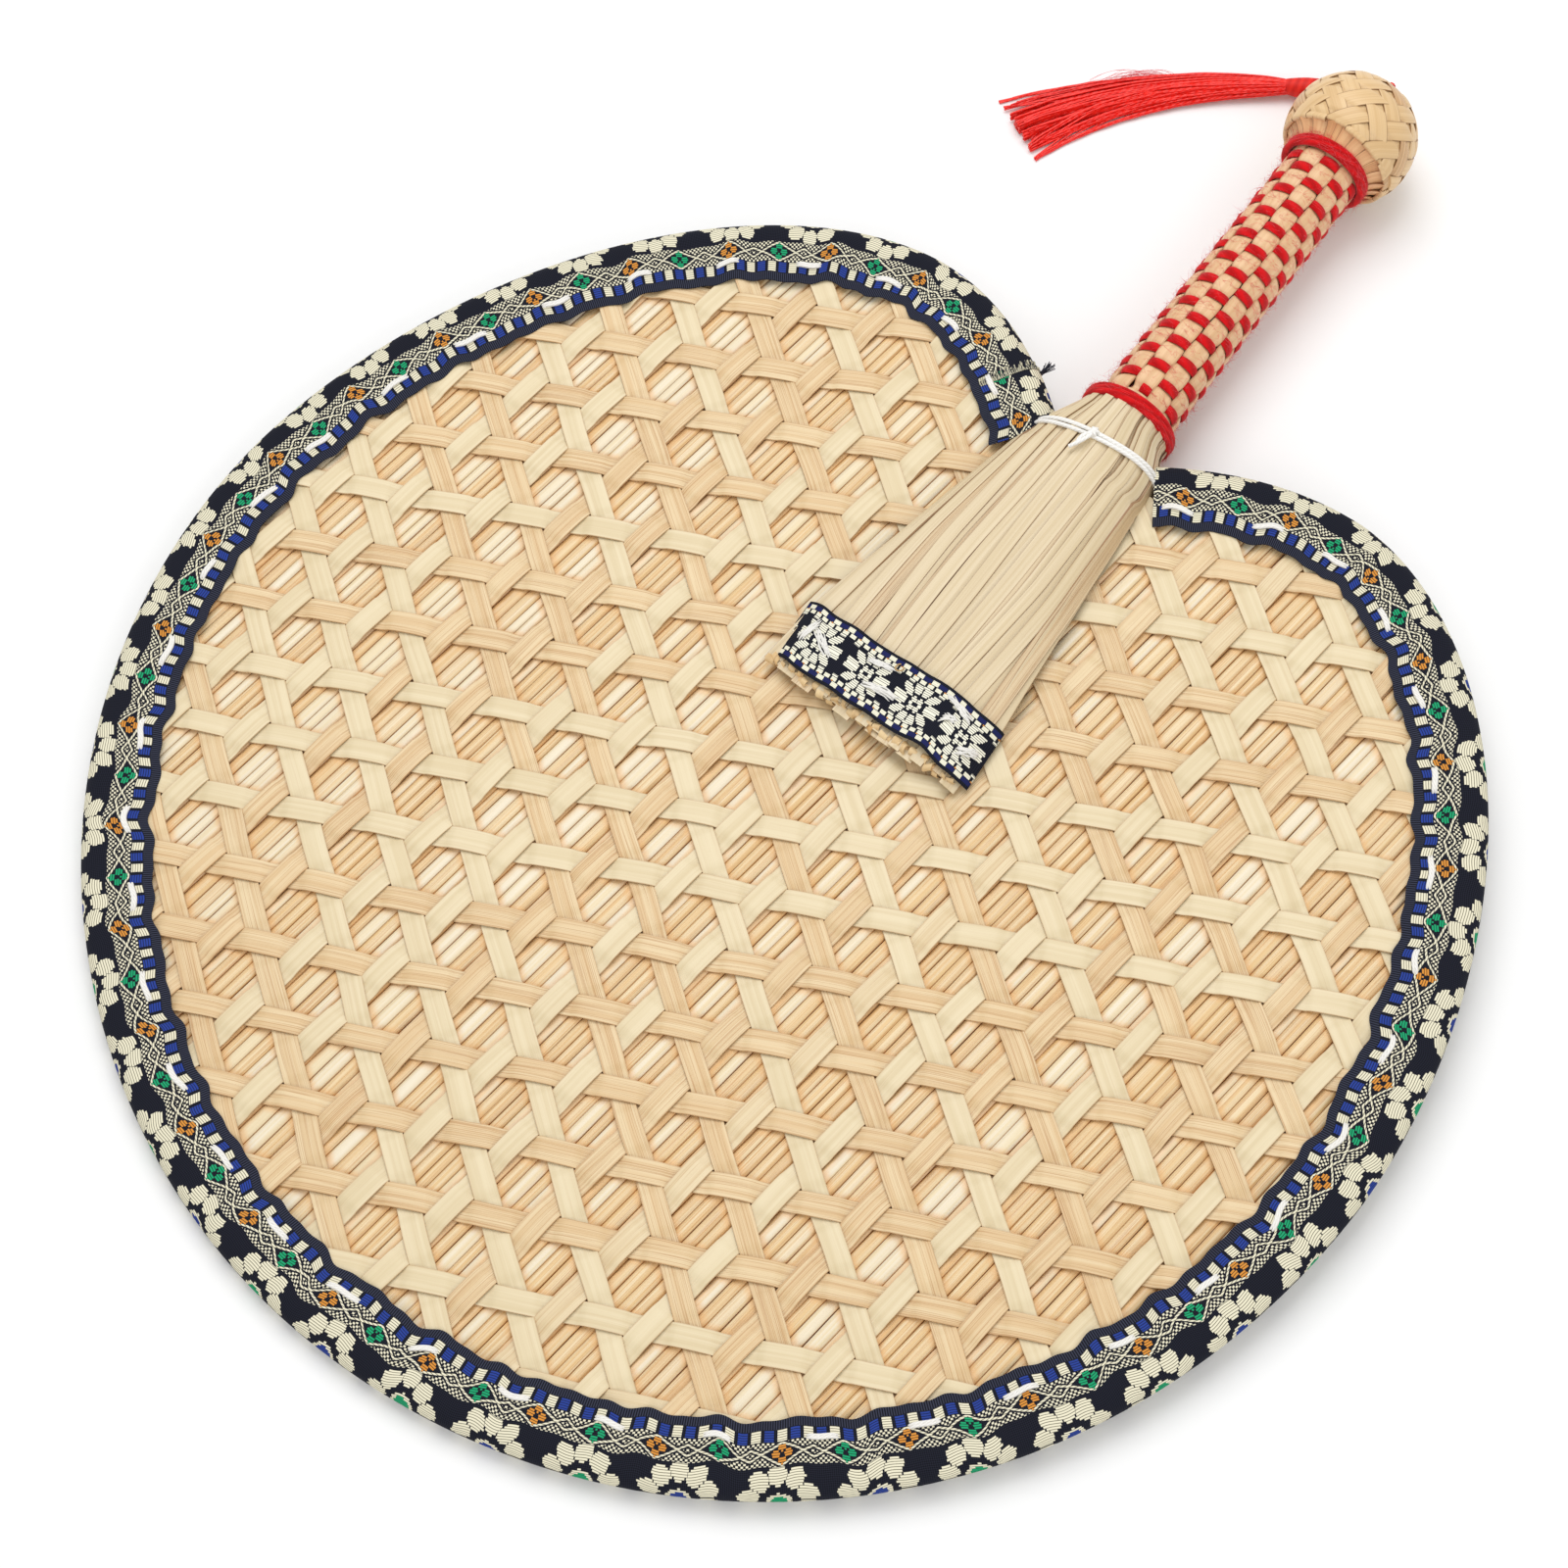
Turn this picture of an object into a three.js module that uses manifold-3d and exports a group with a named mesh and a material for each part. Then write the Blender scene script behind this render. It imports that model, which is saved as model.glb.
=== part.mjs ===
// Hand fan: a heart-shaped blade of three-way strip weave over a layer of thin reeds, bound with ribbon,
// and a straw handle with a wrapped grip, a braided ball and a tassel.
//
// Millimetres. The fan is drawn flat, +Y towards the handle and +Z out of its front, and then laid on a
// table, where it rests on the ball and on the far edge of the blade.
import * as THREE from 'three';
import { mergeVertices } from 'three/addons/utils/BufferGeometryUtils.js';
import Module from 'manifold-3d';

const wasm = await Module();
wasm.setup();

const clearance = 0.3; // between pieces that touch

// Blade outline, and how the hand-made halves differ: each size is larger by its skew on one side of the
// centre line, and smaller by it on the other
const bladeWidth = 301;
const widthSkew = 0.7; // of half the width, to the left
const bellyHeight = 147.5; // from the far edge to the widest place
const bellySkew = 2; // to the right
const lobeHeight = 278.3; // from the far edge to the top of each lobe
const lobeSpread = 57; // from the centre line to the top of each lobe
const spreadSkew = 2.2; // to the right
const notchDrop = 27; // from the lobes' tops down to where the outline would meet the centre line
const notchEnd = 3; // the outline stops this far from the centre line, inside the neck
const bellyFullness = 2; // 2 is an ellipse, and more is squarer
const fullnessSkew = 0.05; // to the right
const shoulderFullness = 1.81;
const edgeSteps = 60; // pieces of the outline between its two ends

// Weave: three sets of strips, 60 degrees apart, and each set lies over the next
const stripWidth = 4.8;
const stripThickness = 0.5;
const freeRun = 0.91; // bare edge of a strip between two crossings
const crossingGap = 0.2; // between two strips where they are closest
const weaveHeading = 4.2; // degrees from the handle's direction to the upright set
const weaveAnchor = new THREE.Vector2(-11.3, 136.6); // a crossing of the rising and falling sets
const ownStrips = 14; // of each set: the shorter ones grow out of the edge roll
const shortestStrip = 9;

// Reeds under the weave
const reedDiameter = 2;
const reedPitch = 2.2;
const reedGroove = 0.55; // depth between two reeds

// Edge: the strips' ends are folded back into a roll, and the ribbon is folded over it
const rollWidth = 6;
const ribbonThickness = 0.6;
const ribbonFlap = 15.6; // from the outer edge to the inner edge of each flap

// Handle
const handleOffset = 3.4; // the neck sits this far right of the blade's centre line
const handleLean = 3.2; // degrees towards the left
const gripRise = 9.5; // from the neck's string up to the grip
const gripLength = 87.5;
const gripRadius = 9.3; // at the neck end
const gripRadiusTop = 8.8;
const gripWall = 1;
const warpCount = 13; // straw strips around the grip
const warpGroove = 0.35;
const warpTwist = 20; // degrees along the grip
const weftTurns = 27;
const weftDiameter = 1;
const weftSteps = 12; // pieces in one turn
const ringYarn = 1.5;
const ringPitch = 1.95;
const ringTurns = 2;
const ballRadius = 15.8;
const ballRim = 9.3; // from the ball's centre down to its open rim
const ballMouth = 13.6; // radius of that rim
const ballLip = 1.6; // thickness of the strips at the rim
const ballRecess = 3; // depth of the gathered hollow around the grip
const socketDepth = 9; // how far the core goes into the ball, past the hollow

// Straw splays: the front one is given from the neck to the loose ends, and the back one is its mirror
const splayStep = 4; // the two splays close over this length, behind the blade's edge
const tieRise = 5.5; // from there up to the string
const splayLength = 68; // from the string down to the patch
const looseEnds = 18; // from the patch's upper edge down to the loose ends
const looseSpread = 0.5; // the loose ends are this much wider on each side
const neckRadius = 10.6;
const tieHalfWidth = 15;
const tieHalfDepth = 9.4;
const splayHalfWidth = 25.2; // under the patch
const splayDepth = 2.7; // thickness of the straw under the patch
const neckGap = 1.3; // between the splays and the leaning grip
const strawCount = 14;
const strawGroove = 0.35;
const patchWidth = 15;
const patchThickness = 0.8;
const patchFlat = 0.8; // share of the splay's width under the patch's flat top
const patchDrop = 0.25; // share of the splay's depth that the patch slopes down to its sides
const stringDiameter = 1.1;
const stringPitch = 1.7;
const stringTurns = 2;

// Tassel, beside the ball on the table
const knotRadius = 1.5;
const cordDiameter = 1.4;
const cordReach = 16.4; // sideways from the ball's crown to the tassel's head
const headGap = 0.85; // where the cord bends, between its end and the head
const headLength = 8.5;
const headRadius = 2.7;
const headTip = 0.4; // radius of its narrow top
const headGroove = 0.25;
const headHeading = 34; // degrees, from straight left towards the blade
const skirtLength = 66;
const skirtBend = 19; // degrees that the skirt turns, most of it near the head
const skirtWidth = 19.6;
const skirtDepth = 6;
const skirtFolds = 10;
const skirtFoldDepth = 0.12; // as a share of the skirt's half width
const tableGap = 0.2;

const straw = material('#e6cf9c', 0.62);
const stripColors = {
  rising_strip: material('#ecd3a4', 0.5),
  falling_strip: material('#e2d3a6', 0.5),
  upright_strip: material('#eacb98', 0.5),
};
const reedStraw = material('#f2dcae', 0.4);
const navyRibbon = material('#232740', 0.85);
const redYarn = material('#cf1b27', 0.9);
const redSilk = material('#e4261f', 0.45);
const whiteString = material('#efece4', 0.85);

function material(color, roughness) {
  return new THREE.MeshStandardMaterial({ color, roughness, metalness: 0 });
}

// Sizes that follow from the ones above
const sixty = Math.PI / 3;
const crossingReach = stripWidth * Math.sin(sixty);
const crossingStep = 2 * crossingReach + freeRun;
const stripPitch = 2 * crossingStep * Math.sin(sixty);
const stripRise = (crossingGap * crossingStep) / (2 * freeRun);
const weaveDepth = 2 * stripRise + stripThickness;
const bladeHalf = (weaveDepth + clearance + reedDiameter) / 2;
const weaveLevel = bladeHalf - weaveDepth / 2;
const reedLevel = reedDiameter / 2 - bladeHalf;
const flapInside = bladeHalf + clearance;
const flapOutside = flapInside + ribbonThickness;
const rollInset = ribbonThickness + clearance;
const fieldInset = rollInset + rollWidth + clearance;

// A point of the outline, t from 0 at the right of the notch, round the far edge, to 1 at its left
class BladeEdge extends THREE.Curve {
  getPoint(t, target = new THREE.Vector3()) {
    const side = t < 0.5 ? 1 : -1;
    const [x, y] = halfOutline(side, Math.abs(2 * t - 1));
    return target.set(side * x, y, 0);
  }
}

// Half of the outline, from the far edge (0) over the shoulder to the notch (1). Side is 1 for the right
// half and -1 for the left one, and x is measured from the centre line
function halfOutline(side, along) {
  const shares = [0.5, 0.92]; // where the belly and the shoulder end
  const halfWidth = bladeWidth / 2 - side * widthSkew;
  const belly = bellyHeight + side * bellySkew;
  const spread = lobeSpread + side * spreadSkew;
  const fullness = bellyFullness + side * fullnessSkew;
  if (along < shares[0]) {
    const angle = (along / shares[0]) * (Math.PI / 2);
    const x = halfWidth * Math.sin(angle) ** (2 / fullness);
    return [x, belly * (1 - Math.cos(angle) ** (2 / fullness))];
  }
  if (along < shares[1]) {
    const angle = ((along - shares[0]) / (shares[1] - shares[0])) * (Math.PI / 2);
    const x = (halfWidth - spread) * Math.cos(angle) ** (2 / shoulderFullness);
    const y = (lobeHeight - belly) * Math.sin(angle) ** (2 / shoulderFullness);
    return [spread + x, belly + y];
  }
  const x = THREE.MathUtils.mapLinear(along, shares[1], 1, spread, notchEnd);
  return [x, lobeHeight - notchDrop * (1 - x / spread) ** 2];
}

const bladeEdge = new BladeEdge();
bladeEdge.arcLengthDivisions = 600;

// Points along the outline, one for each step, with the inward direction there
function edgeFrames(steps) {
  const frames = [];
  for (let i = 0; i <= steps; i += 1) {
    const point = bladeEdge.getPointAt(i / steps);
    const tangent = bladeEdge.getTangentAt(i / steps);
    const inward = new THREE.Vector3(tangent.y, -tangent.x, 0);
    frames.push({ point, inward });
  }
  return frames;
}

// Closed surface through rings of points, with a cap at each end
function loft(rings) {
  const count = rings[0].length;
  const faces = [];
  for (let i = 0; i + 1 < rings.length; i += 1) {
    for (let j = 0; j < count; j += 1) {
      const a = i * count + j;
      const b = i * count + ((j + 1) % count);
      faces.push(a, b, b + count, a, b + count, a + count);
    }
  }
  const last = (rings.length - 1) * count;
  for (const [a, b, c] of capFaces(rings[0])) faces.push(c, b, a);
  for (const [a, b, c] of capFaces(rings.at(-1))) faces.push(last + a, last + b, last + c);
  return facingOut(new THREE.BufferGeometry().setFromPoints(rings.flat()).setIndex(faces));
}

// Triangles across a flat ring, numbered in the ring's own order
function capFaces(ring) {
  const normal = new THREE.Vector3();
  ring.forEach((point, i) => {
    const next = ring[(i + 1) % ring.length];
    normal.add(new THREE.Vector3().crossVectors(point, next));
  });
  normal.normalize();
  const across = Math.abs(normal.z) < 0.9 ? new THREE.Vector3(0, 0, 1) : new THREE.Vector3(1, 0, 0);
  across.cross(normal).normalize();
  const up = new THREE.Vector3().crossVectors(normal, across);
  const flat = ring.map((point) => new THREE.Vector2(point.dot(across), point.dot(up)));
  return THREE.ShapeUtils.triangulateShape(flat, []);
}

// Turns a closed surface the right way out
function facingOut(geometry) {
  const position = geometry.getAttribute('position');
  const corners = geometry.getIndex().array;
  const at = (i) => new THREE.Vector3().fromBufferAttribute(position, corners[i]);
  let volume = 0;
  for (let i = 0; i < corners.length; i += 3) volume += at(i).dot(at(i + 1).cross(at(i + 2)));
  if (volume < 0) {
    for (let i = 0; i < corners.length; i += 3) {
      [corners[i], corners[i + 1]] = [corners[i + 1], corners[i]];
    }
  }
  return geometry;
}

function toSolid(geometry) {
  const bare = geometry.clone();
  bare.deleteAttribute('normal');
  bare.deleteAttribute('uv');
  const merged = mergeVertices(bare, 1e-4);
  const vertProperties = new Float32Array(merged.getAttribute('position').array);
  const triVerts = new Uint32Array(merged.getIndex().array);
  return new wasm.Manifold(new wasm.Mesh({ numProp: 3, vertProperties, triVerts }));
}

function fromSolid(solid) {
  const { vertProperties, triVerts } = solid.getMesh();
  const geometry = new THREE.BufferGeometry();
  geometry.setAttribute('position', new THREE.BufferAttribute(vertProperties, 3));
  return geometry.setIndex(new THREE.BufferAttribute(triVerts, 1));
}

function piece(name, geometry, look) {
  const mesh = new THREE.Mesh(geometry, look);
  mesh.name = name;
  return mesh;
}

// Ribbon, folded round the edge: one C-shaped section, in distance from the outer edge and height
function ribbonSection() {
  const foldSteps = 4;
  const outer = [[ribbonFlap, flapOutside]];
  const inner = [[ribbonFlap, flapInside]];
  const middle = rollInset + rollWidth / 2;
  const hollow = middle - ribbonThickness;
  for (let i = 0; i <= foldSteps; i += 1) {
    const angle = Math.PI / 2 - (i / foldSteps) * Math.PI;
    outer.push([middle * (1 - Math.cos(angle)), flapOutside * Math.sin(angle)]);
    inner.push([middle - hollow * Math.cos(angle), flapInside * Math.sin(angle)]);
  }
  outer.push([ribbonFlap, -flapOutside]);
  inner.push([ribbonFlap, -flapInside]);
  return [...outer, ...inner.reverse()];
}

// Roll of folded strip ends inside the ribbon
function rollSection() {
  const sides = 6;
  const middle = rollInset + rollWidth / 2;
  return Array.from({ length: sides }, (_, i) => {
    const angle = (i / sides) * 2 * Math.PI;
    return [middle + (rollWidth / 2) * Math.cos(angle), bladeHalf * Math.sin(angle)];
  });
}

// Carries a section round the blade's edge, with the notch left open for the neck
function alongEdge(section) {
  const rings = edgeFrames(edgeSteps).map(({ point, inward }) =>
    section.map(([inset, height]) => point.clone().addScaledVector(inward, inset).setZ(height)));
  return toSolid(loft(rings)).subtract(neckOpening());
}

// Block of space at the notch that the ribbon and the roll leave to the neck
function neckOpening() {
  const height = 2 * (lobeHeight - ribbonEnd.y);
  const box = new THREE.BoxGeometry(2 * neckOpeningHalf, height, 4 * flapOutside);
  box.translate(handleOffset, ribbonEnd.y + height / 2, 0);
  return toSolid(box);
}

// Outline at a distance inside the blade's edge, cut square at the neck
function insideOutline(inset) {
  const inside = edgeFrames(edgeSteps)
    .map(({ point, inward }) => point.clone().addScaledVector(inward, inset))
    .map(({ x, y }) => new THREE.Vector2(x, y));
  const left = handleOffset - neckOpeningHalf;
  const right = handleOffset + neckOpeningHalf;
  const first = inside.findIndex(({ x }) => x > right);
  const last = inside.findLastIndex(({ x }) => x < left);
  const heightAt = (x, a, b) => THREE.MathUtils.mapLinear(x, a.x, b.x, a.y, b.y);
  return [
    new THREE.Vector2(left, heightAt(left, inside[last], inside[last + 1])),
    new THREE.Vector2(left, fieldTop),
    new THREE.Vector2(right, fieldTop),
    new THREE.Vector2(right, heightAt(right, inside[first - 1], inside[first])),
    ...inside.slice(first, last + 1),
  ];
}

// Heights at the neck follow from the blade's edge
const [firstFrame] = edgeFrames(edgeSteps);
const ribbonEnd = firstFrame.point.clone().addScaledVector(firstFrame.inward, ribbonFlap);
const fieldTop = firstFrame.point.clone().addScaledVector(firstFrame.inward, fieldInset).y;
const tieHeight = fieldTop + splayStep + tieRise;
const gripStart = tieHeight + gripRise;
const patchTop = tieHeight - splayLength;
const splayEnd = patchTop - looseEnds;
const neckOpeningHalf = splayAt(ribbonEnd.y).halfWidth + clearance;
const field = insideOutline(fieldInset); // the reeds and the longer strips end here
const rollMiddle = insideOutline(rollInset + rollWidth / 2); // the shorter strips run into the roll

// Direction of a set of strips, and the direction across it
function heading(degrees) {
  const angle = THREE.MathUtils.degToRad(degrees);
  return {
    along: new THREE.Vector2(Math.sin(angle), Math.cos(angle)),
    across: new THREE.Vector2(Math.cos(angle), -Math.sin(angle)),
  };
}

// Reeds side by side, as one ridged sheet cut to the outline
function reedLayer() {
  const { along, across } = heading(weaveHeading);
  const reach = bladeWidth;
  const count = Math.ceil(reach / reedPitch);
  const crest = reedDiameter / 2;
  const top = [];
  for (let i = -count; i <= count; i += 1) {
    top.push(new THREE.Vector2(i * reedPitch, crest));
    top.push(new THREE.Vector2((i + 0.5) * reedPitch, crest - reedGroove));
  }
  const bottom = top.map(({ x, y }) => new THREE.Vector2(x, -y)).reverse();
  const ridges = new THREE.ExtrudeGeometry(new THREE.Shape([...top, ...bottom]), {
    depth: 2 * reach,
    bevelEnabled: false,
  });
  const place = new THREE.Matrix4().makeBasis(
    new THREE.Vector3(across.x, across.y, 0),
    new THREE.Vector3(0, 0, 1),
    new THREE.Vector3(-along.x, -along.y, 0),
  );
  place.setPosition(along.x * reach, bellyHeight + along.y * reach, reedLevel);
  ridges.applyMatrix4(place);
  const outline = new THREE.ExtrudeGeometry(new THREE.Shape(field), {
    depth: 2 * reedDiameter,
    bevelEnabled: false,
  });
  outline.translate(0, 0, reedLevel - reedDiameter);
  return fromSolid(toSolid(ridges).intersect(toSolid(outline)));
}

const weaveSets = [
  { name: 'rising_strip', ...heading(weaveHeading + 60), shift: 0 },
  { name: 'falling_strip', ...heading(weaveHeading + 120), shift: 0 },
  { name: 'upright_strip', ...heading(weaveHeading), shift: 0.5 },
];

// Where a strip meets the strips of the other two sets: place along it, and its height there
function crossings(setIndex, offset) {
  const own = weaveSets[setIndex];
  const most = Math.ceil((2 * bladeWidth) / stripPitch);
  const list = [];
  for (const step of [1, 2]) {
    const other = weaveSets[(setIndex + step) % 3];
    const height = step === 1 ? stripRise : -stripRise;
    for (let i = -most; i <= most; i += 1) {
      const target = (i + other.shift) * stripPitch - offset * other.across.dot(own.across);
      list.push({ at: target / other.across.dot(own.along), height });
    }
  }
  return list.sort((a, b) => a.at - b.at);
}

// Stretches of a straight line that lie inside an outline
function insideStretches(outline, start, direction) {
  const cuts = [];
  outline.forEach((a, i) => {
    const b = outline[(i + 1) % outline.length];
    const edge = b.clone().sub(a);
    const slope = direction.cross(edge);
    const gap = a.clone().sub(start);
    const share = gap.cross(direction) / slope;
    if (share >= 0 && share < 1) cuts.push(gap.cross(edge) / slope);
  });
  cuts.sort((a, b) => a - b);
  return cuts.flatMap((cut, i) => (i % 2 === 0 && i + 1 < cuts.length ? [[cut, cuts[i + 1]]] : []));
}

// Stretches where the whole width of a strip is inside an outline
function stripStretches(outline, set, offset) {
  const lines = [-0.5, 0, 0.5].map((side) => {
    const start = weaveAnchor.clone().addScaledVector(set.across, offset + side * stripWidth);
    return insideStretches(outline, start, set.along);
  });
  return lines.reduce((common, next) => common.flatMap(([from, to]) =>
    next.map(([a, b]) => [Math.max(from, a), Math.min(to, b)])
      .filter(([a, b]) => b - a > shortestStrip)));
}

// One strip, crowned on top, that rises over one set and dips under the other
function stripSolid(setIndex, { offset, from, to }) {
  const set = weaveSets[setIndex];
  const marks = crossings(setIndex, offset);
  const heightAt = (at) => {
    const next = marks.findIndex((mark) => mark.at > at);
    const [a, b] = [marks[next - 1], marks[next]];
    return THREE.MathUtils.mapLinear(at, a.at, b.at, a.height, b.height);
  };
  const inner = marks.filter(({ at }) => at > from + clearance && at < to - clearance);
  const places = [from, ...inner.map(({ at }) => at), to];
  const rings = places.map((at) => {
    const middle = weaveAnchor.clone().addScaledVector(set.across, offset).addScaledVector(set.along, at);
    return [[-0.5, -0.5], [0.5, -0.5], [0, 0.5]].map(([side, up]) => new THREE.Vector3(
      middle.x + set.across.x * side * stripWidth,
      middle.y + set.across.y * side * stripWidth,
      weaveLevel + heightAt(at) + up * stripThickness,
    ));
  });
  return loft(rings);
}

// All strips of one set: the longest are pieces of their own, in order from left to right, and the
// shorter ones reach the middle of the roll
function sortStrips(setIndex) {
  const set = weaveSets[setIndex];
  const most = Math.ceil(bladeWidth / stripPitch);
  const strips = [];
  for (let i = -most; i <= most; i += 1) {
    const offset = (i + set.shift) * stripPitch;
    for (const [from, to] of stripStretches(field, set, offset)) strips.push({ offset, from, to });
  }
  strips.sort((a, b) => (b.to - b.from) - (a.to - a.from));
  const own = strips.slice(0, ownStrips).sort((a, b) => a.offset - b.offset);
  const short = strips.slice(ownStrips).map(({ offset, from, to }) => {
    const reach = stripStretches(rollMiddle, set, offset)
      .find(([a, b]) => a < (from + to) / 2 && b > (from + to) / 2);
    return { offset, from: reach[0], to: reach[1] };
  });
  return { own, short };
}

// Size of a splay at a height, straight between stations at the loose ends, the patch, half way up,
// on both sides of the blade's edge, at the tie and at the grip. Fullness 2 is an oval, and 5 is nearly flat
function splayAt(height) {
  const onWeave = bladeHalf + clearance;
  const split = clearance / 2;
  const overEdge = fieldTop + splayStep / 2;
  const pastEdge = fieldTop + splayStep;
  const halfWay = (patchTop + overEdge) / 2;
  const { mapLinear } = THREE.MathUtils;
  const widthAt = (y) => mapLinear(y, patchTop, tieHeight, splayHalfWidth, tieHalfWidth);
  const depthAt = (y) => mapLinear(y, patchTop, tieHeight, onWeave + splayDepth, tieHalfDepth);
  const stations = [
    [splayEnd, splayHalfWidth + looseSpread, onWeave + splayDepth, onWeave, 5],
    [patchTop, splayHalfWidth, onWeave + splayDepth, onWeave, 5],
    [halfWay, widthAt(halfWay), depthAt(halfWay), onWeave, 3],
    [overEdge, widthAt(overEdge), depthAt(overEdge), onWeave, 2.3],
    [pastEdge, widthAt(pastEdge), depthAt(pastEdge), split, 2],
    [tieHeight, tieHalfWidth, tieHalfDepth, split, 2],
    [gripStart - neckGap, neckRadius, neckRadius, split, 2],
  ];
  const next = Math.max(1, stations.findIndex(([y]) => y >= height));
  const [a, b] = [stations[next - 1], stations[next]];
  const [, halfWidth, top, bottom, fullness] = a.map((value, i) =>
    mapLinear(height, a[0], b[0], value, b[i]));
  return { heights: stations.map(([y]) => y), halfWidth, top, bottom, fullness };
}

// Straws from the neck to their loose ends, ridged on the outside and flat on the blade's side
function splay(side) {
  const rings = splayAt(patchTop).heights.map((y) => {
    const { halfWidth, top, bottom, fullness } = splayAt(y);
    const ring = [];
    for (let i = 0; i <= 2 * strawCount; i += 1) {
      const across = i / strawCount - 1;
      const crown = (1 - Math.abs(across) ** fullness) ** (1 / fullness);
      const groove = i % 2 === 0 && crown > 0 ? strawGroove : 0;
      const z = bottom + (top - bottom) * crown - groove;
      ring.push(new THREE.Vector3(handleOffset + halfWidth * across, y, side * z));
    }
    return ring;
  });
  return loft(rings);
}

// Ribbon patch stitched over the straws, with a flat top and its ends turned down at the sides
function patch(side) {
  const { halfWidth, top, bottom } = splayAt(patchTop);
  const inside = halfWidth + looseSpread + clearance;
  const flat = patchFlat * halfWidth;
  const corner = top - patchDrop * (top - bottom);
  const profile = (grow) => [
    [inside + grow, bottom],
    [inside + grow, corner],
    [flat, top + clearance + grow],
    [-flat, top + clearance + grow],
    [-inside - grow, corner],
    [-inside - grow, bottom],
  ];
  const section = [...profile(patchThickness), ...profile(0).reverse()];
  const rings = [patchTop, patchTop - patchWidth].map((y) =>
    section.map(([x, z]) => new THREE.Vector3(handleOffset + x, y, side * z)));
  return loft(rings);
}

// Round or square tube through points, one ring at each
function tube(points, diameter, sides) {
  const rings = points.map((point, i) => {
    const before = points[Math.max(0, i - 1)];
    const after = points[Math.min(points.length - 1, i + 1)];
    const forward = after.clone().sub(before).normalize();
    const across = Math.abs(forward.y) < 0.8 ? new THREE.Vector3(0, 1, 0) : new THREE.Vector3(0, 0, 1);
    across.cross(forward).normalize();
    const up = new THREE.Vector3().crossVectors(forward, across);
    return Array.from({ length: sides }, (_, j) => {
      const angle = ((j + 0.5) / sides) * 2 * Math.PI;
      return point.clone()
        .addScaledVector(across, (diameter / 2) * Math.cos(angle))
        .addScaledVector(up, (diameter / 2) * Math.sin(angle));
    });
  });
  return loft(rings);
}

// Points of a winding round the Y axis, with its half width and half depth as functions of the height
function winding({ start, turns, pitch, steps, halfWidthAt, halfDepthAt }) {
  const outset = 1 / Math.cos(Math.PI / steps);
  return Array.from({ length: turns * steps + 1 }, (_, i) => {
    const angle = (i / steps) * 2 * Math.PI;
    const y = start + (i / steps) * pitch;
    return new THREE.Vector3(
      halfWidthAt(y) * outset * Math.sin(angle),
      y,
      halfDepthAt(y) * outset * Math.cos(angle),
    );
  });
}

// Prints the least distance between points at least half a turn apart, less the yarn's thickness
function leastGap(name, points, steps, diameter) {
  let least = Infinity;
  for (let i = 0; i < points.length; i += 1) {
    for (let j = i + steps / 2; j < points.length; j += 1) {
      least = Math.min(least, points[i].distanceTo(points[j]));
    }
  }
  console.log(`${name}: least gap to itself ${(least - diameter).toFixed(2)} mm`);
}

// Outside of the straw grip at a distance from its lower end
function gripRadiusAt(y) {
  return THREE.MathUtils.mapLinear(y, 0, gripLength, gripRadius, gripRadiusTop);
}

// Yarn round the grip, clear of the straw
function gripWinding(name, { start, turns, pitch, steps, diameter, sides }) {
  const radiusAt = (y) => gripRadiusAt(y - diameter) + clearance + diameter / 2;
  const points = winding({ start, turns, pitch, steps, halfWidthAt: radiusAt, halfDepthAt: radiusAt });
  leastGap(name, points, steps, diameter);
  return tube(points, diameter, sides);
}

function yarnRing(name, start) {
  return gripWinding(name, {
    start, turns: ringTurns, pitch: ringPitch, steps: 24, diameter: ringYarn, sides: 6,
  });
}

// Sleeve of straw strips side by side, with a seam between each two, twisted a little along the grip
function gripStraw() {
  const outline = (seam, middle, y) => Array.from({ length: 2 * warpCount }, (_, i) => {
    const turn = THREE.MathUtils.degToRad(warpTwist) * (y / gripLength);
    const angle = (i / warpCount) * Math.PI + turn;
    const radius = i % 2 === 0 ? seam : middle;
    return new THREE.Vector3(radius * Math.sin(angle), y, radius * Math.cos(angle));
  });
  const levels = [0, 0.25, 0.5, 0.75, 1].map((share) => share * gripLength);
  const outside = loft(levels.map((y) => outline(gripRadiusAt(y) - warpGroove, gripRadiusAt(y), y)));
  const bore = new THREE.CylinderGeometry(
    gripRadiusTop - gripWall, gripRadius - gripWall, gripLength + 2, warpCount,
  );
  bore.translate(0, gripLength / 2, 0);
  return fromSolid(toSolid(outside).subtract(toSolid(bore)));
}

const coreRadius = (gripRadiusTop - gripWall - clearance) * Math.cos(Math.PI / warpCount);
const ballCenter = gripLength + clearance + ballRim - ballRecess; // from the grip's lower end
const coreTop = ballCenter - ballRim + ballRecess + socketDepth;

function handleCore() {
  const core = new THREE.CylinderGeometry(coreRadius, coreRadius, coreTop - clearance, warpCount);
  return core.translate(0, (coreTop - clearance) / 2, 0);
}

// Braided ball, open below, where its strips are gathered in to the grip
function pommel() {
  const bands = 6;
  const profile = [];
  for (let i = 0; i <= bands; i += 1) {
    const angle = (i / bands) * (Math.PI / 2);
    profile.push(new THREE.Vector2(ballRadius * Math.sin(angle), ballRadius * Math.cos(angle)));
  }
  const shoulder = ballRim / 2;
  profile.push(new THREE.Vector2(Math.sqrt(ballRadius ** 2 - shoulder ** 2), -shoulder));
  profile.push(new THREE.Vector2(ballMouth, -ballRim));
  const floor = ballRecess - ballRim;
  const socket = coreRadius + clearance;
  profile.push(new THREE.Vector2(ballMouth - ballLip, -ballRim));
  profile.push(new THREE.Vector2(ballMouth - 1.5 * ballLip, floor));
  profile.push(new THREE.Vector2(socket, floor));
  profile.push(new THREE.Vector2(socket, floor + socketDepth));
  profile.push(new THREE.Vector2(0, floor + socketDepth));
  return new THREE.LatheGeometry(profile.reverse(), 20);
}

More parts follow.
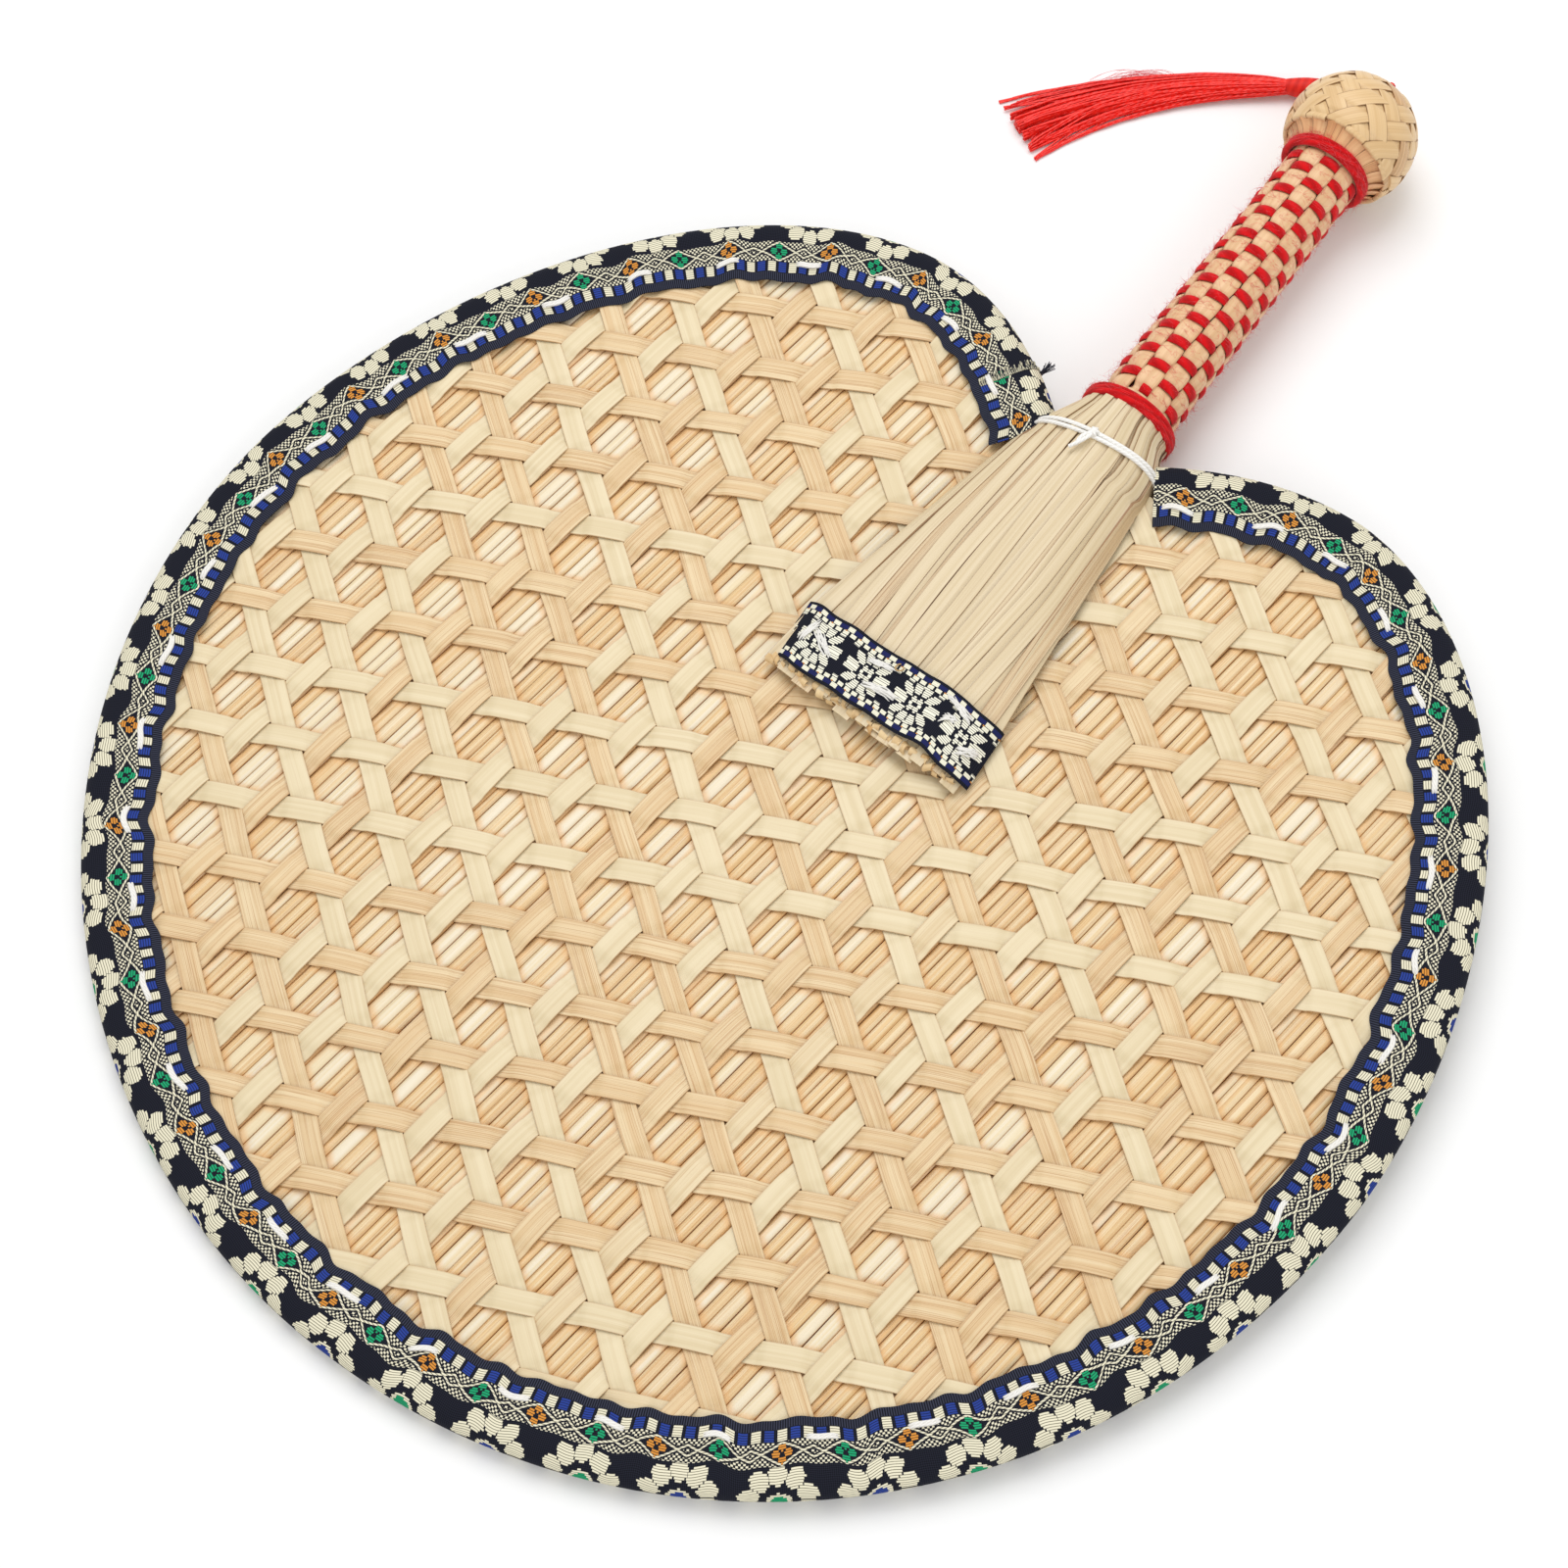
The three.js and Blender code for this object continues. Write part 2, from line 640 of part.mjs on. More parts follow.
// String round both splays at the neck
function neckTie() {
  const radius = stringDiameter / 2;
  const start = -(stringTurns * stringPitch) / 2;
  const widest = (y, key) => Math.max(
    splayAt(tieHeight + y - stringDiameter)[key],
    splayAt(tieHeight + y + stringDiameter)[key],
  );
  const points = winding({
    start,
    turns: stringTurns,
    pitch: stringPitch,
    steps: 24,
    halfWidthAt: (y) => widest(y, 'halfWidth') + clearance + radius,
    halfDepthAt: (y) => widest(y, 'top') + clearance + radius,
  });
  leastGap('neck_tie', points, 24, stringDiameter);
  return tube(points, stringDiameter, 6);
}

// Direction on the table, in degrees from straight left towards the blade
function onTable(degrees) {
  const angle = THREE.MathUtils.degToRad(degrees);
  return new THREE.Vector3(-Math.cos(angle), -Math.sin(angle), 0);
}

// Cord from the crown down to the tassel's head, in a frame whose origin is the crown's knot: it leaves
// the knot level and reaches the table level
function tasselCord(drop) {
  const middle = -cordReach / 2;
  const sag = new THREE.CubicBezierCurve3(
    new THREE.Vector3(-knotRadius - clearance, 0, 0),
    new THREE.Vector3(middle, 0, 0),
    new THREE.Vector3(middle, 0, -drop),
    new THREE.Vector3(-cordReach, 0, -drop),
  );
  return tube(sag.getSpacedPoints(8), cordDiameter, 6);
}

// Bound head of the tassel, from a narrow top to full width, with the wrapping's ridges
function tasselHead() {
  const ridges = 5;
  const shoulder = headLength / 4;
  const profile = [new THREE.Vector2(0, 0), new THREE.Vector2(headTip, 0)];
  for (let i = 0; i <= 2 * ridges; i += 1) {
    const along = THREE.MathUtils.lerp(shoulder, headLength, i / (2 * ridges));
    profile.push(new THREE.Vector2(headRadius - (i % 2) * headGroove, along));
  }
  profile.push(new THREE.Vector2(0, headLength));
  const head = new THREE.LatheGeometry(profile, 12);
  return head.rotateZ(Math.PI / 2);
}

// Skirt of strands, spreading flat on the table along a bent path
function tasselSkirt() {
  const steps = 7;
  const point = new THREE.Vector3();
  const rings = [];
  for (let i = 0; i <= steps; i += 1) {
    const share = i / steps;
    const turn = skirtBend * Math.sqrt(share);
    const forward = onTable(turn);
    const across = new THREE.Vector3(-forward.y, forward.x, 0);
    const halfWidth = THREE.MathUtils.lerp(headRadius, skirtWidth / 2, share);
    const halfDepth = THREE.MathUtils.lerp(headRadius, skirtDepth / 2, share);
    const ring = Array.from({ length: 2 * skirtFolds }, (_, j) => {
      const angle = (j / skirtFolds) * Math.PI;
      const grow = j % 2 === 0 ? 1 : 1 - skirtFoldDepth;
      return point.clone()
        .addScaledVector(across, halfWidth * grow * Math.cos(angle))
        .add(new THREE.Vector3(0, 0, halfDepth * grow * Math.sin(angle) + halfDepth - headRadius));
    });
    rings.push(ring);
    point.addScaledVector(forward, skirtLength / steps);
  }
  return loft(rings);
}

// Blade: reeds, three-way weave, roll and ribbon
const laidFan = new THREE.Group();
laidFan.add(piece('reed_layer', reedLayer(), reedStraw));
let roll = alongEdge(rollSection());
weaveSets.forEach(({ name }, setIndex) => {
  const { own, short } = sortStrips(setIndex);
  own.forEach((strip, i) => {
    const label = `${name}_${String(i + 1).padStart(2, '0')}`;
    laidFan.add(piece(label, stripSolid(setIndex, strip), stripColors[name]));
  });
  for (const strip of short) roll = roll.add(toSolid(stripSolid(setIndex, strip)));
});
laidFan.add(piece('edge_roll', fromSolid(roll), straw));
laidFan.add(piece('edge_ribbon', fromSolid(alongEdge(ribbonSection())), navyRibbon));

// Neck: two splays of straw with their patches, and the string round both
laidFan.add(piece('front_splay', splay(1), straw));
laidFan.add(piece('back_splay', splay(-1), straw));
laidFan.add(piece('front_patch', patch(1), navyRibbon));
laidFan.add(piece('back_patch', patch(-1), navyRibbon));
const tie = piece('neck_tie', neckTie(), whiteString);
tie.position.set(handleOffset, tieHeight, 0);
laidFan.add(tie);

// Grip, which leans a little to the left
const grip = new THREE.Group();
grip.position.set(handleOffset, gripStart, 0);
grip.rotation.z = THREE.MathUtils.degToRad(handleLean);
laidFan.add(grip);
grip.add(piece('handle_core', handleCore(), straw));
grip.add(piece('grip_straw', gripStraw(), straw));
const ringSpan = ringTurns * ringPitch + ringYarn;
const upperRing = gripLength - ringSpan + ringYarn / 2; // in the hollow under the ball
const weftStart = ringSpan + weftDiameter;
const weftPitch = (upperRing - ringYarn - weftStart) / weftTurns;
grip.add(piece('grip_yarn', gripWinding('grip_yarn', {
  start: weftStart, turns: weftTurns, pitch: weftPitch, steps: weftSteps, diameter: weftDiameter, sides: 4,
}), redYarn));
grip.add(piece('lower_ring', yarnRing('lower_ring', ringYarn / 2), redYarn));
grip.add(piece('upper_ring', yarnRing('upper_ring', upperRing), redYarn));
const ball = piece('pommel', pommel(), straw);
ball.position.y = ballCenter;
grip.add(ball);
const crown = new THREE.Vector3(0, ballCenter + ballRadius + clearance + knotRadius, 0);
const knot = piece('crown_knot', new THREE.SphereGeometry(knotRadius, 8, 6), redSilk);
knot.position.copy(crown);
grip.add(knot);

// The whole fan leans on the ball and on the rim's far edge
const ballPlace = new THREE.Vector3(0, ballCenter, 0).applyMatrix4(
  new THREE.Matrix4().compose(grip.position, grip.quaternion, grip.scale),
);
const rimContact = rollInset + rollWidth / 2;
laidFan.rotation.x = Math.asin((ballRadius - flapOutside) / (ballPlace.y - rimContact));
laidFan.updateMatrixWorld(true);
const lowest = new THREE.Box3().setFromObject(laidFan, true).min.z;
laidFan.position.z = -lowest;
laidFan.updateMatrixWorld(true);

// Tassel on the table: the cord hangs from the crown's knot, and the head turns at the cord's end
const knotPlace = crown.clone().applyMatrix4(grip.matrixWorld);
const headHeight = headRadius + tableGap;
const tassel = new THREE.Group();
tassel.position.copy(knotPlace);
const cord = piece('tassel_cord', tasselCord(knotPlace.z - headHeight), redSilk);
tassel.add(cord);
const head = new THREE.Group();
head.position.set(-cordReach, 0, headHeight - knotPlace.z);
head.rotation.z = THREE.MathUtils.degToRad(headHeading);
tassel.add(head);
const boundHead = piece('tassel_head', tasselHead(), redSilk);
boundHead.position.x = -headGap;
head.add(boundHead);
const skirt = piece('tassel_skirt', tasselSkirt(), redSilk);
skirt.position.x = -headGap - headLength - clearance;
head.add(skirt);

// Origin at the middle of the whole fan's footprint, on the table
const wholeFan = new THREE.Group();
wholeFan.add(laidFan, tassel);
wholeFan.updateMatrixWorld(true);
const footprint = new THREE.Box3().setFromObject(wholeFan, true).getCenter(new THREE.Vector3());
wholeFan.position.set(-footprint.x, -footprint.y, 0);

export default wholeFan;
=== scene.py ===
# Woven straw hand fan: the looks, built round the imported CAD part
import math

import bpy
import numpy as np
from mathutils import Matrix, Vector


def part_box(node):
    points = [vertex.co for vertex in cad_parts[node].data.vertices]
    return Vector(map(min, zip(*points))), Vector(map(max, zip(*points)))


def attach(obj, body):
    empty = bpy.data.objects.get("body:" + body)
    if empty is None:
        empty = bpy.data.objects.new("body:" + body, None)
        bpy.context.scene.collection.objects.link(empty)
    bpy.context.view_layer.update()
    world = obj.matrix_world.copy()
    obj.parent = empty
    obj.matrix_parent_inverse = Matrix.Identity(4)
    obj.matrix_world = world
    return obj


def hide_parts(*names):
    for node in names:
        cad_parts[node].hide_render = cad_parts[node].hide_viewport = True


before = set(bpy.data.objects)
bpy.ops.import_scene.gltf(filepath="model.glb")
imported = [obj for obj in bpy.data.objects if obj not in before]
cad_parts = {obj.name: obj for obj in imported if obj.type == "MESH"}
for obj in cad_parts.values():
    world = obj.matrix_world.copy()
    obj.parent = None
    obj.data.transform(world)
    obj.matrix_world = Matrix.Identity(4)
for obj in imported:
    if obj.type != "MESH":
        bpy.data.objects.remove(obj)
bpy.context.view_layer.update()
random = np.random.default_rng(12)
print("frame loaded")

# The fan is modelled flat, in millimetres: +Y from the blade's far edge to the handle, +Z out of its
# front. On the table it leans on its ball and its far rim, as the CAD part does
millimetre = 0.001  # in metres
handle = {"start": 267.52, "offset": 3.4, "lean": math.radians(3.2), "length": 87.5}
ball = {"along": 94.1, "radius": 15.8}
knotAlong = ball["along"] + ball["radius"] + 1.8
contact = {"inset": 3.9, "height": 3.3136}  # where the far rim touches the table


# Two coordinates turned by an angle
def turned(x, y, angle):
    cos, sin = math.cos(angle), math.sin(angle)
    return x * cos - y * sin, x * sin + y * cos


# Handle points, with x across it and y up from the grip's lower end, turned by its lean to the left
def onHandle(points):
    x, y, z = np.moveaxis(np.asarray(points, float), -1, 0)
    x, y = turned(x, y, handle["lean"])
    return np.stack([handle["offset"] + x, handle["start"] + y, z], axis=-1)


ballMiddle = onHandle([0, ball["along"], 0])
leanAngle = math.asin((ball["radius"] - contact["height"]) / (ballMiddle[1] - contact["inset"]))


# Turns by the lean about X
def leaned(points):
    x, y, z = np.moveaxis(np.asarray(points, float), -1, 0)
    return np.stack([x, *turned(y, z, leanAngle)], axis=-1)


# The CAD knot shows how far the leaned fan is shifted
knotPlace = np.mean(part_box("crown_knot"), axis=0) / millimetre
shift = knotPlace - leaned(onHandle([0, knotAlong, 0]))


# Leans the points, shifts them, and goes from millimetres to metres
def toRow(points):
    return (leaned(points) + shift) * millimetre


# Millimetres on the table to metres
def onTable(points):
    return points * millimetre


# Node helpers

# Value of a socket: a sum, product or comparison of it is a math node
class Value:
    def __init__(self, socket):
        self.socket = socket
        self.tree = socket.id_data

    def __add__(self, other):
        return calc("ADD", self, other)

    def __sub__(self, other):
        return calc("SUBTRACT", self, other)

    def __rsub__(self, other):
        return calc("SUBTRACT", other, self)

    def __mul__(self, other):
        return calc("MULTIPLY", self, other)

    def __truediv__(self, other):
        return calc("DIVIDE", self, other)

    def __lt__(self, other):
        return calc("LESS_THAN", self, other)

    def __gt__(self, other):
        return calc("GREATER_THAN", self, other)

    def __abs__(self):
        return calc("ABSOLUTE", self)


# Links or sets a node's inputs by name or number
def setInputs(node, inputs):
    for key, value in inputs.items():
        if isinstance(value, Value):
            node.id_data.links.new(value.socket, node.inputs[key])
        else:
            node.inputs[key].default_value = value


# Adds a node with its properties and inputs, and gives one of its outputs, or a list of all for None
def addNode(tree, kind, inputs=None, output=0, **settings):
    node = tree.nodes.new(kind)
    for key, value in settings.items():
        setattr(node, key, value)
    setInputs(node, inputs or {})
    return [Value(socket) for socket in node.outputs] if output is None else Value(node.outputs[output])


# One math node: operation on up to three numbers, with a value among them
def calc(operation, *numbers):
    tree = next(number.tree for number in numbers if isinstance(number, Value))
    return addNode(tree, "ShaderNodeMath", dict(enumerate(numbers)), operation=operation)


# One vector math node
def calcVector(operation, vector, other, output=0):
    return addNode(vector.tree, "ShaderNodeVectorMath", {0: vector, 1: other}, output, operation=operation)


# The three coordinates of a vector
def split(vector):
    return addNode(vector.tree, "ShaderNodeSeparateXYZ", {0: vector}, output=None)


# Colour a where factor is 0 and b where it is 1
def mixColors(factor, a, b):
    inputs = {0: factor, 6: a, 7: b}
    return addNode(factor.tree, "ShaderNodeMix", inputs, output=2, data_type="RGBA", clamp_factor=True)


# Smooth step of a value from 0 at low to 1 at high
def smoothStep(value, low, high):
    inputs = {0: value, 1: low, 2: high}
    return addNode(value.tree, "ShaderNodeMapRange", inputs, interpolation_type="SMOOTHSTEP")


# Distance to the nearest of points spaced evenly from a start, and the number of that point
def nearest(value, start, spacing):
    scaled = (value - start) / spacing
    number = calc("ROUND", scaled)
    return (scaled - number) * spacing, number


# Sine wave between 0 and 1
def sineWave(angle):
    return calc("SINE", angle) * 0.5 + 0.5


# Noise on a coordinate that is multiplied by a factor on each axis
def stretchedNoise(position, factors, detail=2.0):
    place = calcVector("MULTIPLY", position, factors)
    return addNode(position.tree, "ShaderNodeTexNoise", {"Vector": place, "Scale": 1.0, "Detail": detail})


# sRGB hex to the linear colour that a shader socket takes
def color(code):
    parts = np.array([int(code[i:i + 2], 16) for i in (1, 3, 5)]) / 255
    linear = np.where(parts <= 0.04045, parts / 12.92, ((parts + 0.055) / 1.055) ** 2.4)
    return (*linear, 1)


# Node group with named inputs: a number is an input's default value, and a word is its kind
def newGroup(name, inputs):
    group = bpy.data.node_groups.new(name, "ShaderNodeTree")
    for key, value in inputs.items():
        kind = value if isinstance(value, str) else "Float"
        socket = group.interface.new_socket(key, in_out="INPUT", socket_type="NodeSocket" + kind)
        if kind == "Float":
            socket.default_value = value
    given = group.nodes.new("NodeGroupInput").outputs
    return group, [Value(given[key]) for key in inputs]


# Puts out a group's results, as colours or numbers, by name
def finishGroup(group, results):
    for key, value in results.items():
        kind = "Color" if value.socket.type == "RGBA" else "Float"
        group.interface.new_socket(key, in_out="OUTPUT", socket_type="NodeSocket" + kind)
    addNode(group, "NodeGroupOutput", results, output=None)
    return group


# All outputs of a group that is placed in a tree with its own values
def placeGroup(tree, group, inputs):
    return addNode(tree, "ShaderNodeGroup", inputs, output=None, node_tree=group)


# New material and its tree
def newMaterial(name):
    material = bpy.data.materials.new(name)
    material.use_nodes = True
    return material, material.node_tree


# Place on a piece in its own millimetres, and the tone of its part there
def onPiece(tree):
    position = addNode(tree, "ShaderNodeUVMap", uv_map="surface")
    return position, addNode(tree, "ShaderNodeAttribute", output="Fac", attribute_name="tone")


# Gives a material's shader its colour and gloss, and a height as bumps of a depth in millimetres
def finishMaterial(material, shade, height, roughness, shine, strength, depth, sheen=0.0):
    tree = material.node_tree
    bump = {"Height": height, "Strength": strength, "Distance": depth * millimetre}
    setInputs(tree.nodes["Principled BSDF"], {
        "Base Color": shade, "Normal": addNode(tree, "ShaderNodeBump", bump), "Roughness": roughness,
        "Specular IOR Level": shine, "Sheen Weight": sheen,
    })
    return material


# Surface helpers

# Unit vectors
def unit(vectors):
    return vectors / np.linalg.norm(vectors, axis=-1, keepdims=True)


# Side and up directions along a line, with up as close as it can be to the one given
def framesAlong(centre, up=(0, 0, 1)):
    forward = unit(np.gradient(centre, axis=0))
    side = unit(np.cross(np.broadcast_to(np.array(up, float), centre.shape), forward))
    return side, np.cross(forward, side)


# Signed volume of quads: a sixth of the sum of a . (b x c) over their two triangles
def volume(points, quads):
    a, b, c, d = (points[quads[:, k]] for k in range(4))
    return (np.einsum("ij,ij->", a, np.cross(b, c)) + np.einsum("ij,ij->", a, np.cross(c, d))) / 6


# Closed skin through rings of points, given as (rows, count, 3), with quads between neighbouring rings
# and across both end rings, whose count is even. UV is the given distances along and across
def shell(points, along, across, tone=0.0):
    rows, count = points.shape[:2]
    along = np.broadcast_to(np.reshape(along, (rows, -1)), (rows, count + 1))
    across = np.broadcast_to(across, (rows, count + 1))
    i, j = (grid.ravel() for grid in np.meshgrid(np.arange(rows - 1), np.arange(count), indexing="ij"))
    after = (j + 1) % count
    quads = np.stack([i * count + j, i * count + after, (i + 1) * count + after, (i + 1) * count + j], -1)
    corners = [(i, j), (i, j + 1), (i + 1, j + 1), (i + 1, j)]
    uv = np.stack([np.stack([grid[place] for place in corners], -1) for grid in (along, across)], -1)
    k = np.arange(count // 2 - 1)
    cap = np.stack([k, k + 1, count - 2 - k, count - 1 - k], -1)
    firstUv, lastUv = (np.stack([along[row, cap], across[row, cap]], -1) for row in (0, -1))
    quads = np.concatenate([quads, cap[:, ::-1], cap + (rows - 1) * count])
    uv = np.concatenate([uv, firstUv[:, ::-1], lastUv])
    flat = points.reshape(-1, 3)
    if volume(flat - flat[0], quads) < 0:
        quads, uv = quads[:, ::-1], uv[:, ::-1]
    return {"points": flat, "quads": quads, "uv": uv, "tone": np.full(rows * count, tone)}


# Shell of a sheet: its outer face, and back along its inner one
def sheet(outer, inner, along, across, tone=0.0):
    across = np.concatenate([across, across[..., ::-1], across[..., :1]], axis=-1)
    return shell(np.concatenate([outer, inner[:, ::-1]], axis=1), along, across, tone)


# Distance along a line at each of its points
def runAlong(centre):
    return np.concatenate([[0], np.cumsum(np.linalg.norm(np.diff(centre, axis=0), axis=1))])


# Shell of a section carried along a line: centre + x * side + y * up
def sweep(centre, side, up, section, across=None, tone=0.0):
    points = centre[:, None] + section[None, :, :1] * side[:, None] + section[None, :, 1:] * up[:, None]
    across = np.linspace(0, 1, len(section) + 1) if across is None else across
    return shell(points, runAlong(centre), across, tone)


# Circle section of radius 1
def roundSection(sides):
    angles = (np.arange(sides) + 0.5) * 2 * np.pi / sides
    return np.stack([np.cos(angles), np.sin(angles)], -1)


# Round strand of a given radius, or of one radius for each ring
def strand(centre, radius, sides=6, up=(0, 0, 1), tone=0.0):
    side, top = framesAlong(centre, up)
    radius = np.broadcast_to(radius, len(centre))[:, None]
    return sweep(centre, side * radius, top * radius, roundSection(sides), tone=tone)


# Strand closed to a loop: middle + a * cos(turn) + b * sin(turn)
def loopStrand(middle, a, b, radius, steps, tone=0.0):
    turn = np.linspace(0, 2 * np.pi, steps)
    centre = middle + np.outer(np.cos(turn), a) + np.outer(np.sin(turn), b)
    return strand(centre, radius, sides=8, up=(0.3, 0.2, 1), tone=tone)


# Straw of a section, a width and a thickness along a line. Its grain goes from -2 to 2 across it
def straw(centre, side, up, width, thickness, section):
    places = np.append(section[:, 0], section[0, 0]) * 2
    side = side * np.reshape(width, (-1, 1)) / 2
    return sweep(centre, side, up * thickness / 2, section, across=places, tone=random.uniform())


# New object in the scene, with its three axes and its place
def addObject(name, data, axes=((1, 0, 0), (0, 1, 0), (0, 0, 1)), place=(0, 0, 0)):
    obj = bpy.data.objects.new(name, data)
    matrix = Matrix.Identity(4)
    for column, vector in enumerate((*axes, place)):
        matrix.col[column][:3] = vector
    obj.matrix_world = matrix
    bpy.context.scene.collection.objects.link(obj)
    return obj


# One mesh object from parts, riding on a CAD body
def makePiece(name, parts, material, body="fan", replaces=(), slot=None, sharp=50, place=toRow):
    parts = list(parts)
    starts = np.cumsum([0] + [len(part["points"]) for part in parts[:-1]])
    points = place(np.concatenate([part["points"] for part in parts]))
    quads = np.concatenate([part["quads"] + start for part, start in zip(parts, starts)])
    uv = np.concatenate([part["uv"] for part in parts])
    mesh = bpy.data.meshes.new(name)
    mesh.vertices.add(len(points))
    mesh.vertices.foreach_set("co", points.ravel())
    mesh.loops.add(quads.size)
    mesh.loops.foreach_set("vertex_index", quads.ravel())
    mesh.polygons.add(len(quads))
    mesh.polygons.foreach_set("loop_start", np.arange(0, quads.size, 4))
    mesh.polygons.foreach_set("use_smooth", np.ones(len(quads), bool))
    mesh.uv_layers.new(name="surface").data.foreach_set("uv", uv.ravel())
    tone = mesh.attributes.new("tone", "FLOAT", "POINT")
    tone.data.foreach_set("value", np.concatenate([part["tone"] for part in parts]))
    mesh.update(calc_edges=True)
    mesh.set_sharp_from_angle(angle=math.radians(sharp))
    mesh.materials.append(material)
    obj = addObject(name, mesh)
    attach(obj, body)
    if replaces:
        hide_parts(*replaces)
    print(name, len(quads) * 2, "triangles")


# Blade outline

blade = {
    "width": 301, "widthSkew": -0.7, "belly": 147.5, "bellySkew": 2, "lobe": 278.3, "spread": 57,
    "spreadSkew": 2.2, "drop": 27, "end": 3, "fullness": 2, "fullnessSkew": 0.05, "shoulderFullness": 1.81,
    "bellyShare": 0.5, "shoulderShare": 0.92,  # of each half outline, up to the end of the belly and shoulder
}


# Outline points from the right of the notch round the far edge to its left: belly and shoulder are
# parts of superellipses, and the lobe falls to the notch as a parabola. Each half has its own skews
def outline(t):
    sign = np.where(t < 0.5, 1, -1)
    along = np.abs(2 * t - 1)
    bellyEnd, shoulderEnd = blade["bellyShare"], blade["shoulderShare"]
    half = blade["width"] / 2 + sign * blade["widthSkew"]
    bellyHeight = blade["belly"] + sign * blade["bellySkew"]
    spread = blade["spread"] + sign * blade["spreadSkew"]
    bellyPower = 2 / (blade["fullness"] + sign * blade["fullnessSkew"])
    shoulderPower = 2 / blade["shoulderFullness"]
    belly = np.clip(along / bellyEnd, 0, 1) * np.pi / 2
    shoulder = np.clip((along - bellyEnd) / (shoulderEnd - bellyEnd), 0, 1) * np.pi / 2
    lobeX = spread + (along - shoulderEnd) / (1 - shoulderEnd) * (blade["end"] - spread)
    lobeY = blade["lobe"] - blade["drop"] * (1 - lobeX / spread) ** 2
    bellyX = half * np.sin(belly) ** bellyPower
    bellyY = bellyHeight * (1 - np.abs(np.cos(belly)) ** bellyPower)
    shoulderX = spread + (half - spread) * np.abs(np.cos(shoulder)) ** shoulderPower
    shoulderY = bellyHeight + (blade["lobe"] - bellyHeight) * np.sin(shoulder) ** shoulderPower
    x = np.where(along < bellyEnd, bellyX, np.where(along < shoulderEnd, shoulderX, lobeX))
    y = np.where(along < bellyEnd, bellyY, np.where(along < shoulderEnd, shoulderY, lobeY))
    return np.stack([sign * x, y], -1)


finePoints = outline(np.linspace(0, 1, 6001))
fineRun = runAlong(finePoints)
edgeLength = fineRun[-1]


# Points at distances along the outline
def outlineAt(run):
    run = np.clip(run, 0, edgeLength)
    return np.stack([np.interp(run, fineRun, finePoints[:, k]) for k in (0, 1)], -1)


# Points and inward directions at distances along the outline
def edgeAt(run):
    tangent = unit(outlineAt(run + 0.5) - outlineAt(run - 0.5))
    return outlineAt(run), np.stack([tangent[..., 1], -tangent[..., 0]], -1)


# Outline moved inwards by one distance
def insetOutline(inset, count=400):
    points, inward = edgeAt(np.linspace(0, edgeLength, count))
    return points + inward * inset


# Places along a line where it enters and leaves a closed outline
def stretchesInside(start, direction, loop):
    edge, gap = np.roll(loop, -1, axis=0) - loop, loop - start
    slope = direction[0] * edge[:, 1] - direction[1] * edge[:, 0]
    share = (gap[:, 0] * direction[1] - gap[:, 1] * direction[0]) / slope
    place = (gap[:, 0] * edge[:, 1] - gap[:, 1] * edge[:, 0]) / slope
    cuts = np.sort(place[(share >= 0) & (share < 1)])
    return cuts[: len(cuts) // 2 * 2].reshape(-1, 2)


# Random wandering: a sum of sine waves of random phase, with wavelengths spread about one length
def wander(run, length, size, count=5):
    total = np.zeros_like(run)
    for share in np.linspace(0.6, 1.8, count):
        total += np.sin(2 * np.pi * (run / (length * share) + random.uniform()))
    return total * size * math.sqrt(2 / count)


# Straw: how often its noise changes along and across, the steps of its bands, lines and painted shade at
# its edges, and how strongly painted warm shade shows beside strips
grainLook = {
    "along": 0.012, "fibres": 3.4, "bands": 0.9, "bandStep": (0.35, 0.65), "lineStep": (0.035, 0.006),
    "edgeShadeStep": (1.8, 1.99), "skinLines": 0.1, "morePithLines": 0.42, "paintedShade": 0.6,
}


# Lengthwise grain on a coordinate with millimetres along and -2 to 2 across: thin lines where stretched
# noise crosses its middle value, broad bands of two tones, and painted shade at the edges in the lines'
# dark colour. The tone shifts it all
def makeGrain():
    group, (position, tone, light, middle, dark, lines, edgeShade) = newGroup("strawGrain", {
        "Position": "Vector", "Tone": 0.5, "Light": "Color", "Middle": "Color", "Dark": "Color",
        "Lines": 0.5, "Edges": 0.5,
    })
    away = addNode(group, "ShaderNodeCombineXYZ", {0: tone * 613.0, 1: tone * 97.0})
    shifted = calcVector("ADD", position, away)
    fibre, band = (
        stretchedNoise(shifted, (grainLook["along"], grainLook[key], 1)) for key in ("fibres", "bands")
    )
    ground = mixColors(smoothStep(band, *grainLook["bandStep"]), middle, light)
    line = smoothStep(abs(fibre - 0.5), *grainLook["lineStep"]) * lines
    # painted shade along the straw's edges, where shade falls in the gaps beside its neighbours
    edge = smoothStep(abs(split(position)[1]), *grainLook["edgeShadeStep"]) * edgeShade
    return finishGroup(group, {
        "Color": mixColors(calc("MAXIMUM", line, edge), ground, dark), "Height": 1.0 - line,
    })


grain = makeGrain()

# Weave

weave = {
    "step": 9.224, "pitch": 15.976, "heading": 4.2, "anchor": np.array([-11.3, 136.6]),
    "width": 5.0, "thickness": 0.3, "rise": 0.36, "level": 0.62, "flatness": 5.0, "end": 9.5, "shortest": 8,
    "sample": 0.8, "paintedShade": (1.9, 0.1),  # the painted warm shade grows from 1.9 to 0.1 mm beside a strip
    "sideways": (40, 0.12), "widening": (30, 0.04), "widthSpread": 0.025,  # wandering: its length and size
}
stripSection = np.array(
    [(1, -1), (1, 1), (0.5, 1.2), (0, 1.3), (-0.5, 1.2), (-1, 1), (-1, -1), (0, -1)], float,
)


# Directions along and across a set of strips
def heading(degrees):
    angle = math.radians(degrees)
    return np.array([math.sin(angle), math.cos(angle)]), np.array([math.cos(angle), -math.sin(angle)])


# Each set's directions, and how many pitches its lines are shifted from the anchor
stripSets = [(*heading(weave["heading"] + turn), shift) for turn, shift in ((60, 0), (120, 0), (0, 0.5))]
